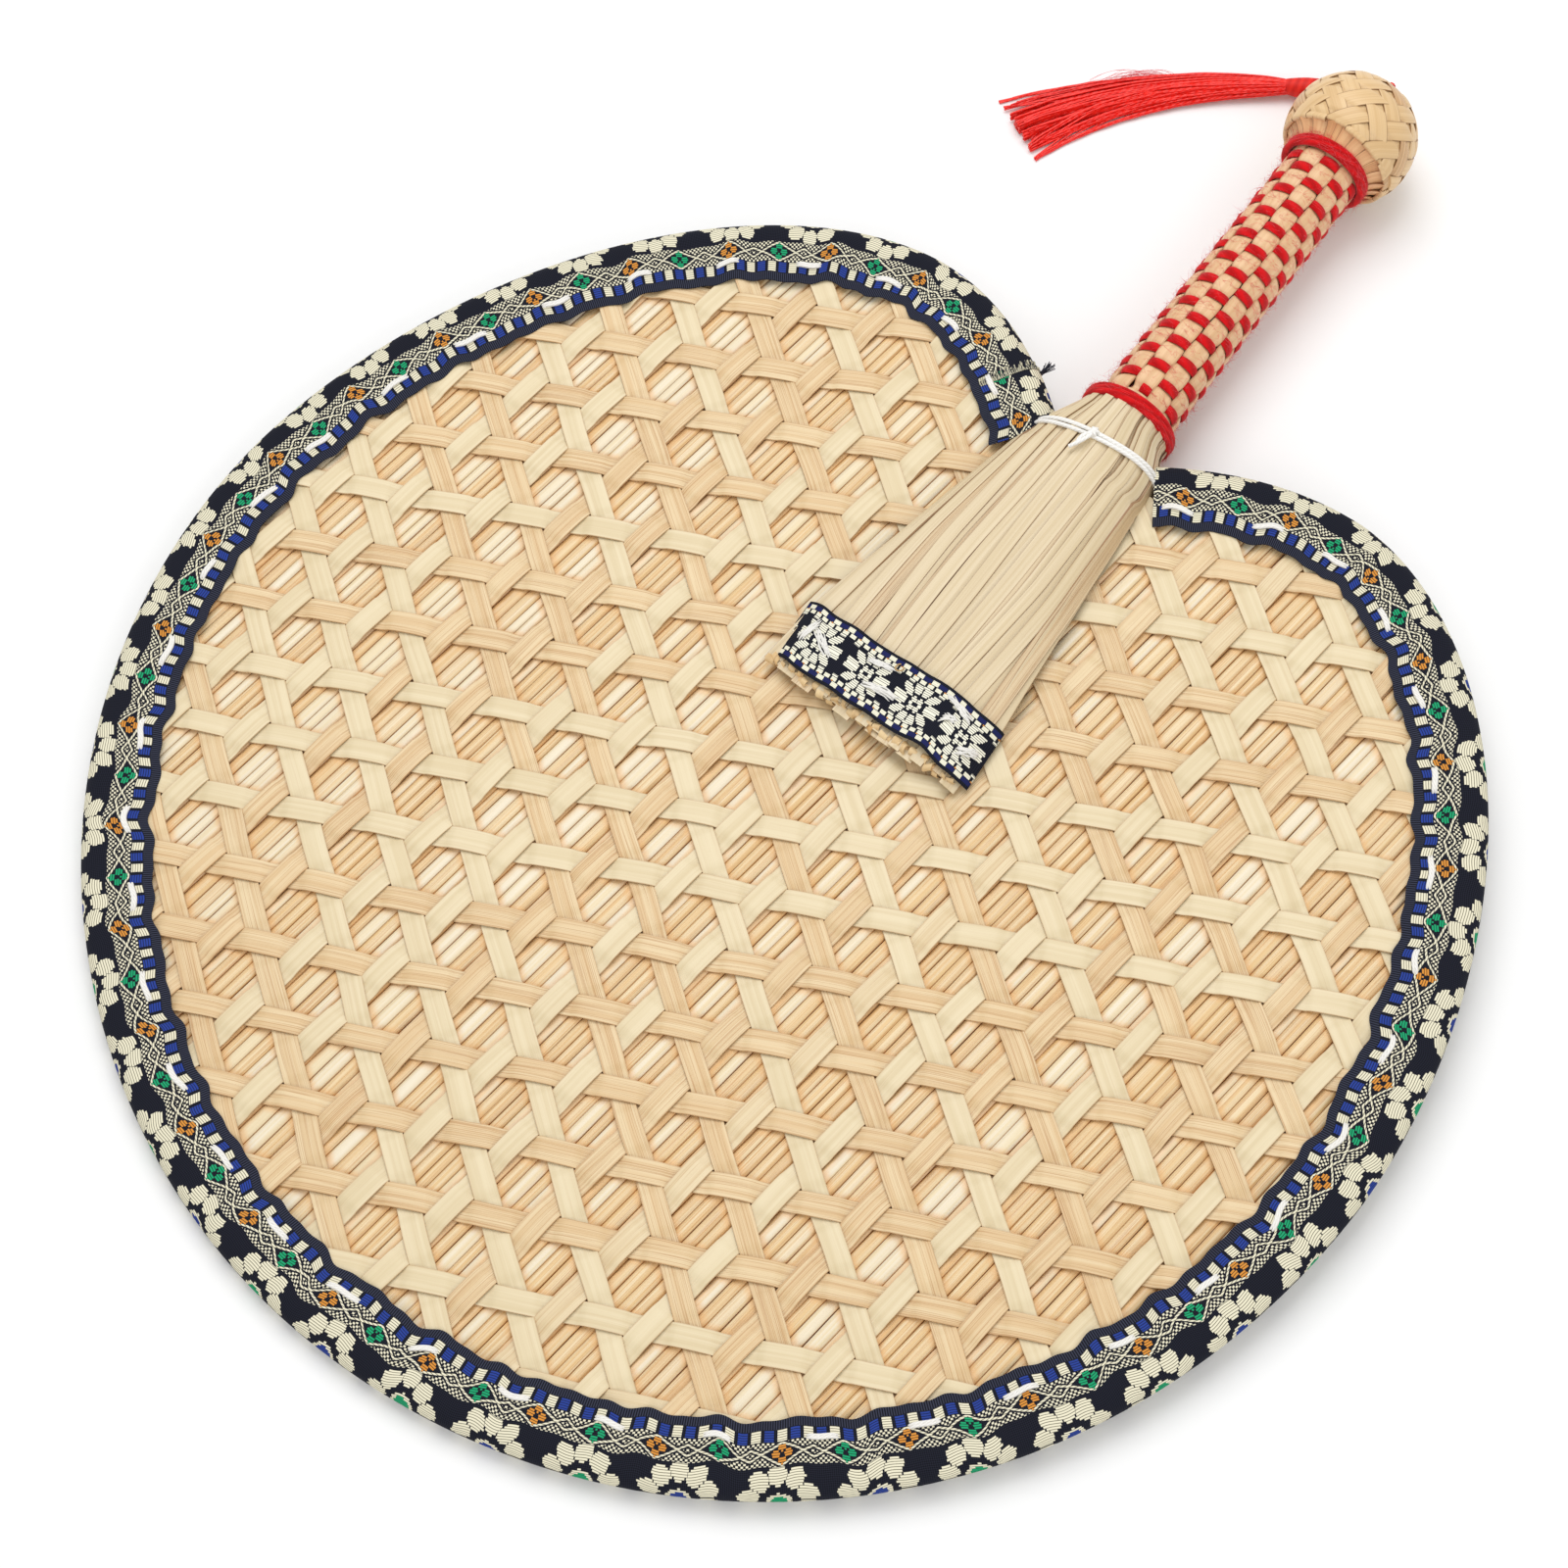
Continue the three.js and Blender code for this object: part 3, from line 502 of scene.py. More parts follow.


# Painted warm shade beside the strips: nearness to them, from 0 to 1, on the side that faces them. The
# distance from a set's nearest line is how far the place lies across the set, less whole pitches
def makePaintedShade():
    group, _ = newGroup("paintedStripShade", {})
    place, normal = (addNode(group, "ShaderNodeTexCoord", output=name) for name in ("Object", "Normal"))
    offLines = []
    for _, across, shift in stripSets:
        origin = toRow([*(weave["anchor"] + across * shift * weave["pitch"]), 0])
        fromOrigin = calcVector("SUBTRACT", place, origin)
        aside = calcVector("DOT_PRODUCT", fromOrigin, leaned([*across, 0]) / millimetre, output="Value")
        offLines.append(abs(nearest(aside, 0.0, weave["pitch"])[0]))
    distance = calc("MINIMUM", calc("MINIMUM", offLines[0], offLines[1]), offLines[2])
    far, close = (weave["width"] / 2 + aside for aside in weave["paintedShade"])
    return finishGroup(group, {"Near": smoothStep(distance, far, close) * (split(normal)[2] > 0.0)})


paintedShade = makePaintedShade()


# Straw: pieces of a high tone show the grainy pith, and the others the smooth skin. With a painted shade
# colour, the straw takes it on close to the strips over it, as painted warm shade
def strawMaterial(name, skin, pith, line, roughness=0.42, skinShare=0.85, edgeShade=0.4, paintedShadeColor=None):
    material, tree = newMaterial(name)
    position, tone = onPiece(tree)
    isPith = smoothStep(tone, skinShare - 0.05, skinShare + 0.05)
    light, middle = (mixColors(isPith, color(skin[k]), color(pith[k])) for k in (0, 1))
    # the line colour draws both the grain lines and the painted shade at the edges
    shade, height = placeGroup(tree, grain, {
        "Position": position, "Tone": tone, "Light": light, "Middle": middle, "Dark": color(line),
        "Lines": isPith * grainLook["morePithLines"] + grainLook["skinLines"], "Edges": edgeShade,
    })
    if paintedShadeColor:
        # painted warm shade: close to the strips over it, the straw takes on the shade colour
        near = placeGroup(tree, paintedShade, {})[0]
        shade = mixColors(near * grainLook["paintedShade"], shade, color(paintedShadeColor))
    return finishMaterial(material, shade, height, roughness, shine=0.4, strength=0.3, depth=0.1)


# Strips of one set: each passes over the next set and under the one after. The height is a cosine of
# the place between crossings, flattened so that the strip lies level on each crossing
def weaveSet(index):
    along, across, shift = stripSets[index]
    _, otherAcross, otherShift = stripSets[(index + 1) % 3]
    loop = insetOutline(weave["end"])
    for i in np.arange(-12, 13) + shift:
        offset = i * weave["pitch"]
        start = weave["anchor"] + across * offset
        over = (otherShift * weave["pitch"] - offset * otherAcross.dot(across)) / otherAcross.dot(along)
        for low, high in stretchesInside(start, along, loop):
            if high - low < weave["shortest"]:
                continue
            run = np.linspace(low, high, int((high - low) / weave["sample"]))
            wave = np.cos(np.pi * (run - over) / weave["step"])
            flat = weave["flatness"]
            height = weave["level"] + weave["rise"] * wave * (1 + flat) / (1 + flat * np.abs(wave))
            aside = across * wander(run, *weave["sideways"])[:, None]
            centre = np.column_stack([start + along * run[:, None] + aside, height])
            width = weave["width"] * (1 + weave["widthSpread"] * random.normal())
            width = width + wander(run, *weave["widening"])
            yield straw(centre, *framesAlong(centre), width, weave["thickness"], stripSection)


# Strips: painted shade at their edges, in the line colour
stripMaterial = strawMaterial(
    "strawStrips", skin=("#e0d0ac", "#d7c59e"), pith=("#e0c89e", "#d6b789"), line="#a8703a", skinShare=0.5,
)
for index, setName in enumerate(("rising", "falling", "upright")):
    makePiece(
        setName + "Strips", weaveSet(index), stripMaterial, slot=setName + "_straw", sharp=60,
        replaces=[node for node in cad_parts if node.startswith(setName + "_strip")],
    )

# Reeds

reeds = {
    "narrow": 2.0, "wide": 3.3, "depth": 1.7, "level": -0.92, "end": 9, "reach": 158, "power": 0.62,
    "gap": 0.01, "depths": (0.85, 1.05),  # shares of the width and of the depth
    "shortest": 4, "sample": 6, "sideways": (60, 0.04), "lift": (60, 0.06),
}


# Section of half width 1 and half height 1 between an ellipse and a square: (cos ^ power, sin ^ power)
def flatSection(sides, power):
    section = roundSection(sides)
    return np.sign(section) * np.abs(section) ** power


# Flat reeds side by side under the weave, each with its own width, slight bow and tone
def reedParts():
    along, across = heading(weave["heading"])
    loop = insetOutline(reeds["end"])
    section = flatSection(12, reeds["power"])
    place = -reeds["reach"]
    while place < reeds["reach"]:
        width = random.uniform(reeds["narrow"], reeds["wide"])
        start = np.array([0, blade["belly"]]) + across * (place + width / 2)
        place += width
        for low, high in stretchesInside(start, along, loop):
            if high - low < reeds["shortest"]:
                continue
            run = np.linspace(low, high, max(3, int((high - low) / reeds["sample"])))
            aside = across * wander(run, *reeds["sideways"])[:, None]
            height = reeds["level"] + wander(run, *reeds["lift"])
            centre = np.column_stack([start + along * run[:, None] + aside, height])
            depth = reeds["depth"] * random.uniform(*reeds["depths"])
            yield straw(centre, *framesAlong(centre), width * (1 - reeds["gap"]), depth, section)


# Reeds: painted warm shade of #e6b272 beside the strips over them, and painted shade in the thin dark lines
# at their edges
reedMaterial = strawMaterial(
    "reedStraw", skin=("#e8dcc3", "#e3d1aa"), pith=("#e7d1a8", "#debc86"), line="#b06a30", roughness=0.34,
    skinShare=0.5, edgeShade=0.7, paintedShadeColor="#e6b272",
)
makePiece("reeds", reedParts(), reedMaterial, slot="reed_straw", replaces=["reed_layer"])

# Ribbon

ribbon = {
    "width": 34.8, "flap": 15.7, "fold": 3.9, "height": 3.3, "frontRest": 1.7, "backRest": 2.3,
    "thickness": 0.34, "right": 15.5, "left": 5, "seam": 914.5, "lap": 0.4,
    "samples": 1150, "drift": (14, 0.42), "pucker": (15, 0.16), "crease": (6, 0.05),
    "creep": ((500, 0), (720, 4.4), (830, 11.8), (915, 14)),  # places, and how far the pattern is early there
}
foldLength = np.pi * math.sqrt((ribbon["fold"] ** 2 + ribbon["height"] ** 2) / 2)
ribbonRun = np.linspace(ribbon["right"], edgeLength - ribbon["left"], ribbon["samples"])
ribbonInset = ribbon["flap"] + wander(ribbonRun, *ribbon["drift"])
ribbonPucker = [
    wander(ribbonRun, *ribbon["pucker"]) + wander(ribbonRun, *ribbon["crease"]) for _ in range(2)
]


# Inset and height of the folded ribbon at a distance v from its front selvedge: a straight front, half
# an ellipse round the edge, and a straight back. Depth is measured inwards from its outer face
def ribbonSection(run, v, depth=0.0):
    straight = np.interp(run, ribbonRun, ribbonInset) - ribbon["fold"]
    puckers = [np.interp(run, ribbonRun, line) for line in ribbonPucker]
    backStart = straight + foldLength
    angle = np.clip((v - straight) / foldLength, 0, 1) * np.pi
    inset = ribbon["fold"] - (ribbon["fold"] - depth) * np.sin(angle)
    inset = inset + np.clip(straight - v, 0, None) + np.clip(v - backStart, 0, None)
    front = np.clip(1 - v / straight, 0, 1) ** 1.5
    back = np.clip((v - backStart) / (ribbon["width"] - backStart), 0, 1) ** 1.5
    height = (ribbon["height"] - depth) * np.cos(angle)
    height = height + (puckers[0] + ribbon["frontRest"] - ribbon["height"]) * front
    return inset, height + (ribbon["height"] - ribbon["backRest"] - puckers[1]) * back


# Points on the ribbon, raised off its outer face by a negative depth. Past the seam its end laps over it
def onRibbon(run, v, depth=0.0):
    inset, height = ribbonSection(run, v, depth - ribbon["lap"] * (run > ribbon["seam"]))
    point, inward = edgeAt(run)
    return np.concatenate([point + inward * inset[..., None], height[..., None]], -1)


# The ribbon is one sheet, with its front, its fold and its back in steps of their own. Its pattern runs
# ahead by the creep
def ribbonPart():
    straight = (ribbonInset - ribbon["fold"])[:, None]
    backStart = straight + foldLength
    v = np.concatenate([
        straight * np.linspace(0, 1, 13)[:-1], straight + foldLength * np.linspace(0, 1, 11)[:-1],
        backStart + (ribbon["width"] - backStart) * np.linspace(0, 1, 10),
    ], axis=1)
    run = np.broadcast_to(ribbonRun[:, None], v.shape)
    patternRun = ribbonRun + np.interp(ribbonRun, *np.transpose(ribbon["creep"]))
    return sheet(onRibbon(run, v), onRibbon(run, v, ribbon["thickness"]), patternRun, v)


# 1 where a whole number is odd, and 0 where it is even
def isOdd(number):
    return calc("FRACT", number * 0.5) * 2.0


# Length of (x / a, y / b)
def ellipse(x, a, y, b):
    x, y = x / a, y / b
    return calc("SQRT", x * x + y * y)


# Threads of a woven pattern, which run along it: the place along it with a ragged shift for each row,
# the middle of the row, its number, and the thread as 1 with dark gaps of 0 between the rows, which is
# both the threads' relief and their painted shade in the gaps
def makeThreads():
    group, (along, across, pitch, ragged) = newGroup("wovenThreads", {
        "Along": 0, "Across": 0, "Pitch": 0.52, "Ragged": 0.7,
    })
    scaled = across / pitch
    row = calc("FLOOR", scaled)
    place = addNode(group, "ShaderNodeCombineXYZ", {0: along, 1: row})
    shiftAlong = (stretchedNoise(place, (0.3, 7.31, 1), detail=1.0) - 0.5) * ragged
    return finishGroup(group, {
        "Along": along + shiftAlong, "Middle": (row + 0.5) * pitch, "Row": row,
        "ThreadReliefAndShade": smoothStep(abs(scaled - row - 0.5), 0.49, 0.28),
    })


# Daisy on the ground: petals are ellipses turned round the middle, in the nearest petal's own directions
def makeDaisy():
    group, (x, y, petals, radius, halfLength, halfWidth, turn) = newGroup("daisy", {
        "X": 0, "Y": 0, "Petals": 10, "Radius": 6.2, "Half Length": 2.2, "Half Width": 1.85, "Turn": 0.25,
    })
    distance = ellipse(x, 1.0, y, 1.0)
    scaled = (calc("ARCTAN2", y, x) / math.tau - turn) * petals
    angle = (scaled - calc("ROUND", scaled)) * math.tau / petals
    sideways = distance * calc("SINE", angle)
    outwards = distance * calc("COSINE", angle) - radius
    size = ellipse(sideways, halfWidth, outwards, halfLength)
    return finishGroup(group, {"Petal": size < 1.0, "Distance": distance})


threads, daisy = makeThreads(), makeDaisy()
# gap and between are painted shade in the gaps between thread rows, of the coloured and the cream threads
navy = {
    "dark": "#0b0c12", "light": "#242632", "rib": "#3e4152", "gap": "#1b1c22", "between": "#69644f",
    "cream": "#eae4ca", "blue": "#2d4394", "green": "#22a06d", "orange": "#d7903f",
}


# Navy ground with the slanting specks of its own weave, sin(a) * sin(b) of its two slants
def navyGround(along, across):
    slants = calc("SINE", (along + across) * 7.5) * calc("SINE", (along - across) * 7.5)
    specks = slants * 0.5 + 0.5
    return mixColors(specks, color(navy["dark"]), color(navy["light"])), specks * 0.25


# 1 between two values, and 0 outside them
def between(value, low, high):
    return (value > low) * (value < high)


# Puts a colour and a height over the ones below where a mask is 1
def layOver(below, mask, shade, height):
    return mixColors(mask, below[0], shade), below[1] + mask * (height - below[1])


# Row of dashes of a half length, spaced evenly from the first one, between two distances from the
# selvedge: the dashes as 1, and the number of the nearest one
def dashRow(along, fromEdge, first, spacing, half, low, high):
    offDash, number = nearest(along, first, spacing)
    return between(offDash, -half, half) * between(fromEdge, low, high), number


# Sizes of the ribbon's pattern: distances are from the nearest selvedge, and the first dash, flower and
# daisy are at places along it
ribbonPattern = {
    "ribs": 11.5, "selvedge": 1.95,  # radians of the ribs a millimetre
    "dash": {"first": 364.4, "spacing": 2.815, "half": 1.02, "low": 2.05, "high": 4.5},
    "band": (4.7, 9.6), "check": 0.52, "firstFlower": 364.4, "flowerSpacing": 13.13, "flowerLine": 7.1,
    "diamond": (4.4, 2.35), "diamondLine": 0.1, "diamondClear": 0.27,  # half sizes, and shares of them
    "petalOff": 1.3, "petalSide": (0.85, 0.78), "petalTop": (0.85, 0.72),
    "firstDaisy": 365.3, "daisySpacing": 19.7, "ragged": 1.7, "ground": 9.7, "disc": 1.75, "ring": 2.6,
}


# New group for a pattern that is the same on both halves of a width: the places along it and from the
# nearest selvedge
def newPattern(name, width):
    group, (position,) = newGroup(name, {"Position": "Vector"})
    along, across, _ = split(position)
    return group, along, calc("MINIMUM", across, width - across)


# Pattern of the edge ribbon on millimetres along and across, the same on both halves of its width:
# selvedge with ribs, a row of blue and cream dashes, a checked band with a flower in each diamond, and
# large daisies in the middle. The parts keep to the rows of the threads that they are woven of
def makeRibbonPattern():
    group, along, fromEdge = newPattern("ribbonPattern", ribbon["width"])
    sizes = ribbonPattern
    _, middle, row, threadReliefAndShade = placeGroup(group, threads, {"Along": along, "Across": fromEdge})
    # the cream and the colours fall to painted shade in the gaps between thread rows
    cream = mixColors(threadReliefAndShade, color(navy["between"]), color(navy["cream"]))
    blue, green, orange = (
        mixColors(threadReliefAndShade, color(navy["gap"]), color(navy[key])) for key in ("blue", "green", "orange")
    )
    layers = navyGround(along, fromEdge)

    ribs = sineWave(along * sizes["ribs"])
    ribShade = mixColors(ribs, color(navy["dark"]), color(navy["rib"]))
    layers = layOver(layers, fromEdge < sizes["selvedge"], ribShade, ribs)

    inDash, dash = dashRow(along, fromEdge, **sizes["dash"])
    layers = layOver(layers, inDash, mixColors(isOdd(dash), cream, blue), threadReliefAndShade)

    offFlower, flower = nearest(along, sizes["firstFlower"], sizes["flowerSpacing"])
    aside, aslant = abs(offFlower), abs(middle - sizes["flowerLine"])
    sideShare = aside / sizes["diamond"][0]
    slantShare = abs(fromEdge - sizes["flowerLine"]) / sizes["diamond"][1]
    offLine = calc("MINIMUM", abs(sideShare + slantShare - 1.0), abs(sideShare - slantShare - 1.0))
    outside = (sideShare + slantShare > 1.0) * (offLine > sizes["diamondClear"])
    checked = outside * isOdd(row + calc("FLOOR", along / sizes["check"]))
    inBand = between(fromEdge, *sizes["band"])
    creamBand = inBand * calc("MAXIMUM", offLine < sizes["diamondLine"], checked)
    layers = layOver(layers, creamBand, cream, threadReliefAndShade)

    (sideLong, sideWide), (topLong, topWide) = sizes["petalSide"], sizes["petalTop"]
    sidePetal = ellipse(aside - sizes["petalOff"], sideLong, aslant, sideWide)
    topPetal = ellipse(aside, topLong, aslant - sizes["petalOff"], topWide)
    inPetal = inBand * (calc("MINIMUM", sidePetal, topPetal) < 1.0)
    layers = layOver(layers, inPetal, mixColors(isOdd(flower), orange, green), threadReliefAndShade)

    strokes = {"Along": along, "Across": fromEdge, "Ragged": sizes["ragged"]}
    raggedAlong = placeGroup(group, threads, strokes)[0]
    offDaisy, number = nearest(raggedAlong, sizes["firstDaisy"], sizes["daisySpacing"])
    petal, distance = placeGroup(group, daisy, {"X": offDaisy, "Y": middle - ribbon["width"] / 2})
    layers = layOver(layers, petal * (fromEdge > sizes["ground"]), cream, threadReliefAndShade)
    layers = layOver(layers, between(distance, sizes["disc"], sizes["ring"]), cream, threadReliefAndShade)
    discShade = mixColors(isOdd(number), green, blue)
    shade, height = layOver(layers, distance < sizes["disc"], discShade, threadReliefAndShade)
    return finishGroup(group, {"Color": shade, "Height": height})


# Cloth with a woven pattern of a group on the piece's own millimetres
def clothMaterial(name, pattern):
    material, tree = newMaterial(name)
    position = addNode(tree, "ShaderNodeUVMap", uv_map="surface")
    shade, height = placeGroup(tree, pattern, {"Position": position})
    return finishMaterial(material, shade, height, roughness=0.9, shine=0.12, strength=0.6, depth=0.18)


ribbonMaterial = clothMaterial("edgeRibbon", makeRibbonPattern())
makePiece("ribbon", [ribbonPart()], ribbonMaterial, slot="navy_ribbon", replaces=["edge_ribbon", "edge_roll"])

# Thread, yarn and silk

# Twisted plies on a strand's own millimetres and share across it, as colour and height: stripes of
# sin(2 pi (along / pitch + plies * across)), mottled by noise. In the colour the stripes are painted
# shade in the grooves and painted highlight on the crests of the plies
def makeTwist():
    group, (position, pitch, plies, deep, bright, tone) = newGroup("twistedPlies", {
        "Position": "Vector", "Pitch": 1.5, "Plies": 3, "Deep": "Color", "Bright": "Color", "Tone": 0.5,
    })
    along, across, _ = split(position)
    plyReliefAndShade = sineWave((across * plies + along / pitch + tone * 7.0) * math.tau)
    mottle = stretchedNoise(position, (1.2, 6, 1))
    # the ply stripes darken and lighten the colour as painted shade in the grooves and painted highlight on
    # the crests
    brightness = plyReliefAndShade * 0.6 + mottle * 0.6 + tone * 0.5 - 0.35
    return finishGroup(group, {"Color": mixColors(brightness, deep, bright), "Height": plyReliefAndShade})


twist = makeTwist()


# Thread of twisted plies with its own colours, pitch in millimetres and gloss: it goes from deep to
# bright by its own mottle and tone and by the painted shade and highlight of its plies
def yarnMaterial(name, deep, bright, roughness, pitch=1.5, plies=2, shine=0.3, sheen=0.0):
    material, tree = newMaterial(name)
    position, tone = onPiece(tree)
    shade, height = placeGroup(tree, twist, {
        "Position": position, "Tone": tone, "Pitch": pitch, "Plies": plies, "Deep": color(deep),
        "Bright": color(bright),
    })
    return finishMaterial(material, shade, height, roughness, shine, strength=0.5, depth=0.1, sheen=sheen)


whiteMaterial = yarnMaterial("whiteThread", "#e4e1da", "#fdfcf9", 0.7, pitch=1.1, plies=3)
redYarnMaterial = yarnMaterial("redYarn", "#a4060a", "#dc1016", 0.9, pitch=6, shine=0.15, sheen=0.12)
silkMaterial = yarnMaterial("redSilk", "#dc0300", "#ff382a", 0.36, pitch=1.9, shine=0.38)
# Silk of the tassel's head: its colour is darkened as painted shade, since the head catches more light; its
# lower gloss is its own
shadedBoundSilkMaterial = yarnMaterial("shadedBoundSilk", "#be0600", "#ea2a1c", 0.5, pitch=1.9, shine=0.25)

# Stitches: the running stitch round the ribbon, shown in turns on its front and its back
stitch = {
    "start": 378.5, "spacing": 22.3, "length": 8, "line": 4.5, "radius": 0.42, "raise": 0.3, "apart": 0.28,
    "margin": 6, "dive": 0.75, "shift": 0.9, "lengths": (0.8, 1.2), "aslant": 0.25, "radii": (0.8, 1.05),
}


# Thread over a path of points: its ends taper and dive by the fourth power of the share from its middle
def stitchPart(place, up, radius):
    share = np.linspace(-1, 1, len(place))
    place = place - np.array(up) * (stitch["dive"] * share[:, None] ** 4)
    return strand(place, radius * (1.02 - share ** 4) ** 0.5, sides=8, up=up)


# Two threads side by side for each stitch, on the front and then on the back, half a spacing further on
def stitchParts():
    first, last = ribbonRun[0] + stitch["margin"], ribbonRun[-1] - stitch["margin"]
    for face, line, turn in ((1, stitch["line"], 0), (-1, ribbon["width"] - stitch["line"], 0.5)):
        start = first + (stitch["start"] - first) % stitch["spacing"] + turn * stitch["spacing"]
        for middle in np.arange(start, last, stitch["spacing"]):
            middle += random.normal(0, stitch["shift"])
            share = np.linspace(-1, 1, 12)
            run = middle + share / 2 * stitch["length"] * random.uniform(*stitch["lengths"])
            v = line + random.normal(0, stitch["aslant"]) + share * random.normal(0, stitch["aslant"])
            for side in (-stitch["apart"], stitch["apart"]):
                place = onRibbon(run, v + side, -stitch["raise"])
                yield stitchPart(place, (0, 0, face), stitch["radius"] * random.uniform(*stitch["radii"]))


makePiece("runningStitches", stitchParts(), whiteMaterial, slot="white_string")

fray = {
    "first": 2.3, "last": 17, "spacing": 0.15, "over": 0.9, "lengths": (1.2, 3), "aslant": 0.3,
    "raise": 0.1, "lift": (0, 0.4), "radii": (0.08, 0.15),
}
tuft = {
    "count": 14, "over": 1.5, "along": (-2.6, 0.6), "out": (1.5, 4.2), "height": (-0.5, 1.5),
    "lift": (0, 1.5), "radius": 0.11,
}


# Frayed threads across the ribbon where its end laps over it
def frayParts():
    share = np.linspace(0, 1, 6)
    for v in np.arange(fray["first"], fray["last"], fray["spacing"]):
        run = ribbon["seam"] + fray["over"] - share * random.uniform(*fray["lengths"])
        aside, lift = share * random.normal(0, fray["aslant"]), share * random.uniform(*fray["lift"])
        place = onRibbon(run, v + aside, -fray["raise"] - lift)
        yield strand(place, random.uniform(*fray["radii"]), 5, tone=random.uniform())


# Tuft of threads that stands out past the blade's edge at the seam
def tuftParts():
    share = np.linspace(0, 1, 10)
    for _ in range(tuft["count"]):
        point, inward = edgeAt(ribbon["seam"] + tuft["over"] + share * random.uniform(*tuft["along"]))
        out = share * random.uniform(*tuft["out"]) + 0.5 * share * np.sin(2.5 * share)
        height = random.uniform(*tuft["height"]) + share * random.uniform(*tuft["lift"])
        place = np.column_stack([point - inward * out[:, None], height])
        yield strand(place, tuft["radius"], 5, tone=random.uniform())


creamMaterial = yarnMaterial("creamThread", "#9a947c", "#e6e0c6", 0.8, pitch=1.2)
navyMaterial = yarnMaterial("navyThread", "#0b0c12", "#2b2e40", 0.8, pitch=1.2)
frayed = list(frayParts())
makePiece("creamFray", frayed[::3] + frayed[1::3], creamMaterial, slot="navy_ribbon")
makePiece("navyFray", [*frayed[2::3], *tuftParts()], navyMaterial, slot="navy_ribbon")

# Straw splays at the neck, on both sides of the fan: front looks along +Z and back along -Z. In neck,
# field, close, tie, grip, patch and end are places up the fan
sides = {"front": 1, "back": -1}
neck = {
    "field": 248.52, "weave": 1.7, "close": 252.52, "tie": 258.02, "grip": 266.22, "patch": 190.02,
    "end": 172.02, "half": 25.2, "depth": 2.7, "tieHalf": 15, "tieDepth": 9.4, "radius": 10.6,
    "flare": 0.5, "over": 2, "under": 0.15,
}


# Half width, top, bottom and fullness of the front splay at heights, straight between stations: the
# ends, the patch, half way up, both sides of the blade's edge, the tie and the grip
def splaySize(y):
    over = neck["field"] + neck["over"]
    half = (neck["patch"] + over) / 2
    heights = [neck["end"], neck["patch"], half, over, neck["close"], neck["tie"], neck["grip"]]
    share = (np.array([half, over, neck["close"]]) - neck["patch"]) / (neck["tie"] - neck["patch"])
    top = neck["weave"] + neck["depth"]
    widened = neck["half"] + share * (neck["tieHalf"] - neck["half"])
    widths = [neck["half"] + neck["flare"], neck["half"], *widened, neck["tieHalf"], neck["radius"]]
    tops = [top, top, *(top + share * (neck["tieDepth"] - top)), neck["tieDepth"], neck["radius"]]
    bottoms = [neck["weave"]] * 4 + [neck["under"]] * 3
    fullness = [5, 5, 3, 2.3, 2, 2, 2]
    return [np.interp(y, heights, values) for values in (widths, tops, bottoms, fullness)]


# Place and outward direction on the splay, at a share from -1 to 1 across it: a superellipse with
# |x| ^ n + |z| ^ n = 1, whose x goes from the share itself, where it is flat, to sin(share * pi / 2)
def onSplay(share, y, raised, face):
    half, top, bottom, power = splaySize(y)
    flat = np.clip((power - 2) / 3, 0, 1)
    x = flat * share + (1 - flat) * np.sin(share * np.pi / 2)
    z = (1 - np.abs(x) ** power) ** (1 / power)
    normal = unit(np.stack([
        np.sign(x) * np.abs(x) ** (power - 1) / half, np.zeros_like(x), z ** (power - 1) / (top - bottom),
    ], -1))
    place = np.stack([handle["offset"] + half * x, y, bottom + (top - bottom) * z], -1)
    return (place + normal * np.reshape(raised, (-1, 1))) * [1, 1, face], normal * [1, 1, face]


splay = {
    "layers": [  # how many straws, how high they lie, and their widths
        (13, -0.6, (3.9, 5)), (12, -0.15, (3.9, 5)), (9, 0.3, (2.6, 4.4)),
    ],
    "thickness": 0.26, "reach": 0.985, "limit": 0.992,  # shares of the splay's half width
    "loose": 3, "past": 2.5, "taper": 240, "narrowing": 0.72, "tilt": (0.04, 0.12),
    "sideways": (90, 0.006), "lift": (80, 0.03), "slant": 0.035, "straight": 230, "scatter": 0.06,
}
splaySection = np.array(
    [(-1, -1), (0, -1), (1, -1), (0.97, 0.8), (0.5, 1.1), (0, 1.2), (-0.5, 1.1), (-0.97, 0.8)], float,
)


# Flat straws from under the grip's ring to their loose ends, in layers, each with its own width, and
# tilted so that its edge lies over its neighbour
def splayParts(face):
    taper, limit, high = splay["taper"], splay["limit"], neck["grip"] + splay["past"]
    for count, level, widths in splay["layers"]:
        for i in range(count):
            share = ((i + 0.5) / count * 2 - 1) * splay["reach"]
            low = neck["end"] + random.uniform(0, splay["loose"])
            y = np.concatenate([np.linspace(low, taper, 16)[:-1], np.linspace(taper, high, 18)])
            shares = share + wander(y, *splay["sideways"])
            shares = shares + random.normal(0, splay["slant"]) * (y - splay["straight"]) / 60
            raised = level + random.normal(0, splay["scatter"]) + wander(y, *splay["lift"])
            place, normal = onSplay(np.clip(shares, -limit, limit), y, raised, face)
            width = random.uniform(*widths) * np.interp(y, [taper, neck["grip"]], [1, splay["narrowing"]])
            forward = unit(np.gradient(place, axis=0))
            side = unit(np.cross(normal, forward))
            side = unit(side + normal * random.uniform(*splay["tilt"]))
            yield straw(place, side, np.cross(forward, side), width, splay["thickness"], splaySection)


# Splay: the dark gaps between straws are painted shade at their edges
splayMaterial = strawMaterial(
    "splayStraw", skin=("#dccaa8", "#d1bd97"), pith=("#dac49f", "#ceb38b"), line="#84522a", edgeShade=0.8,
)
for side, face in sides.items():
    straws = splayParts(face)
    makePiece(side + "Straws", straws, splayMaterial, slot="plain_straw", replaces=[side + "_splay"])

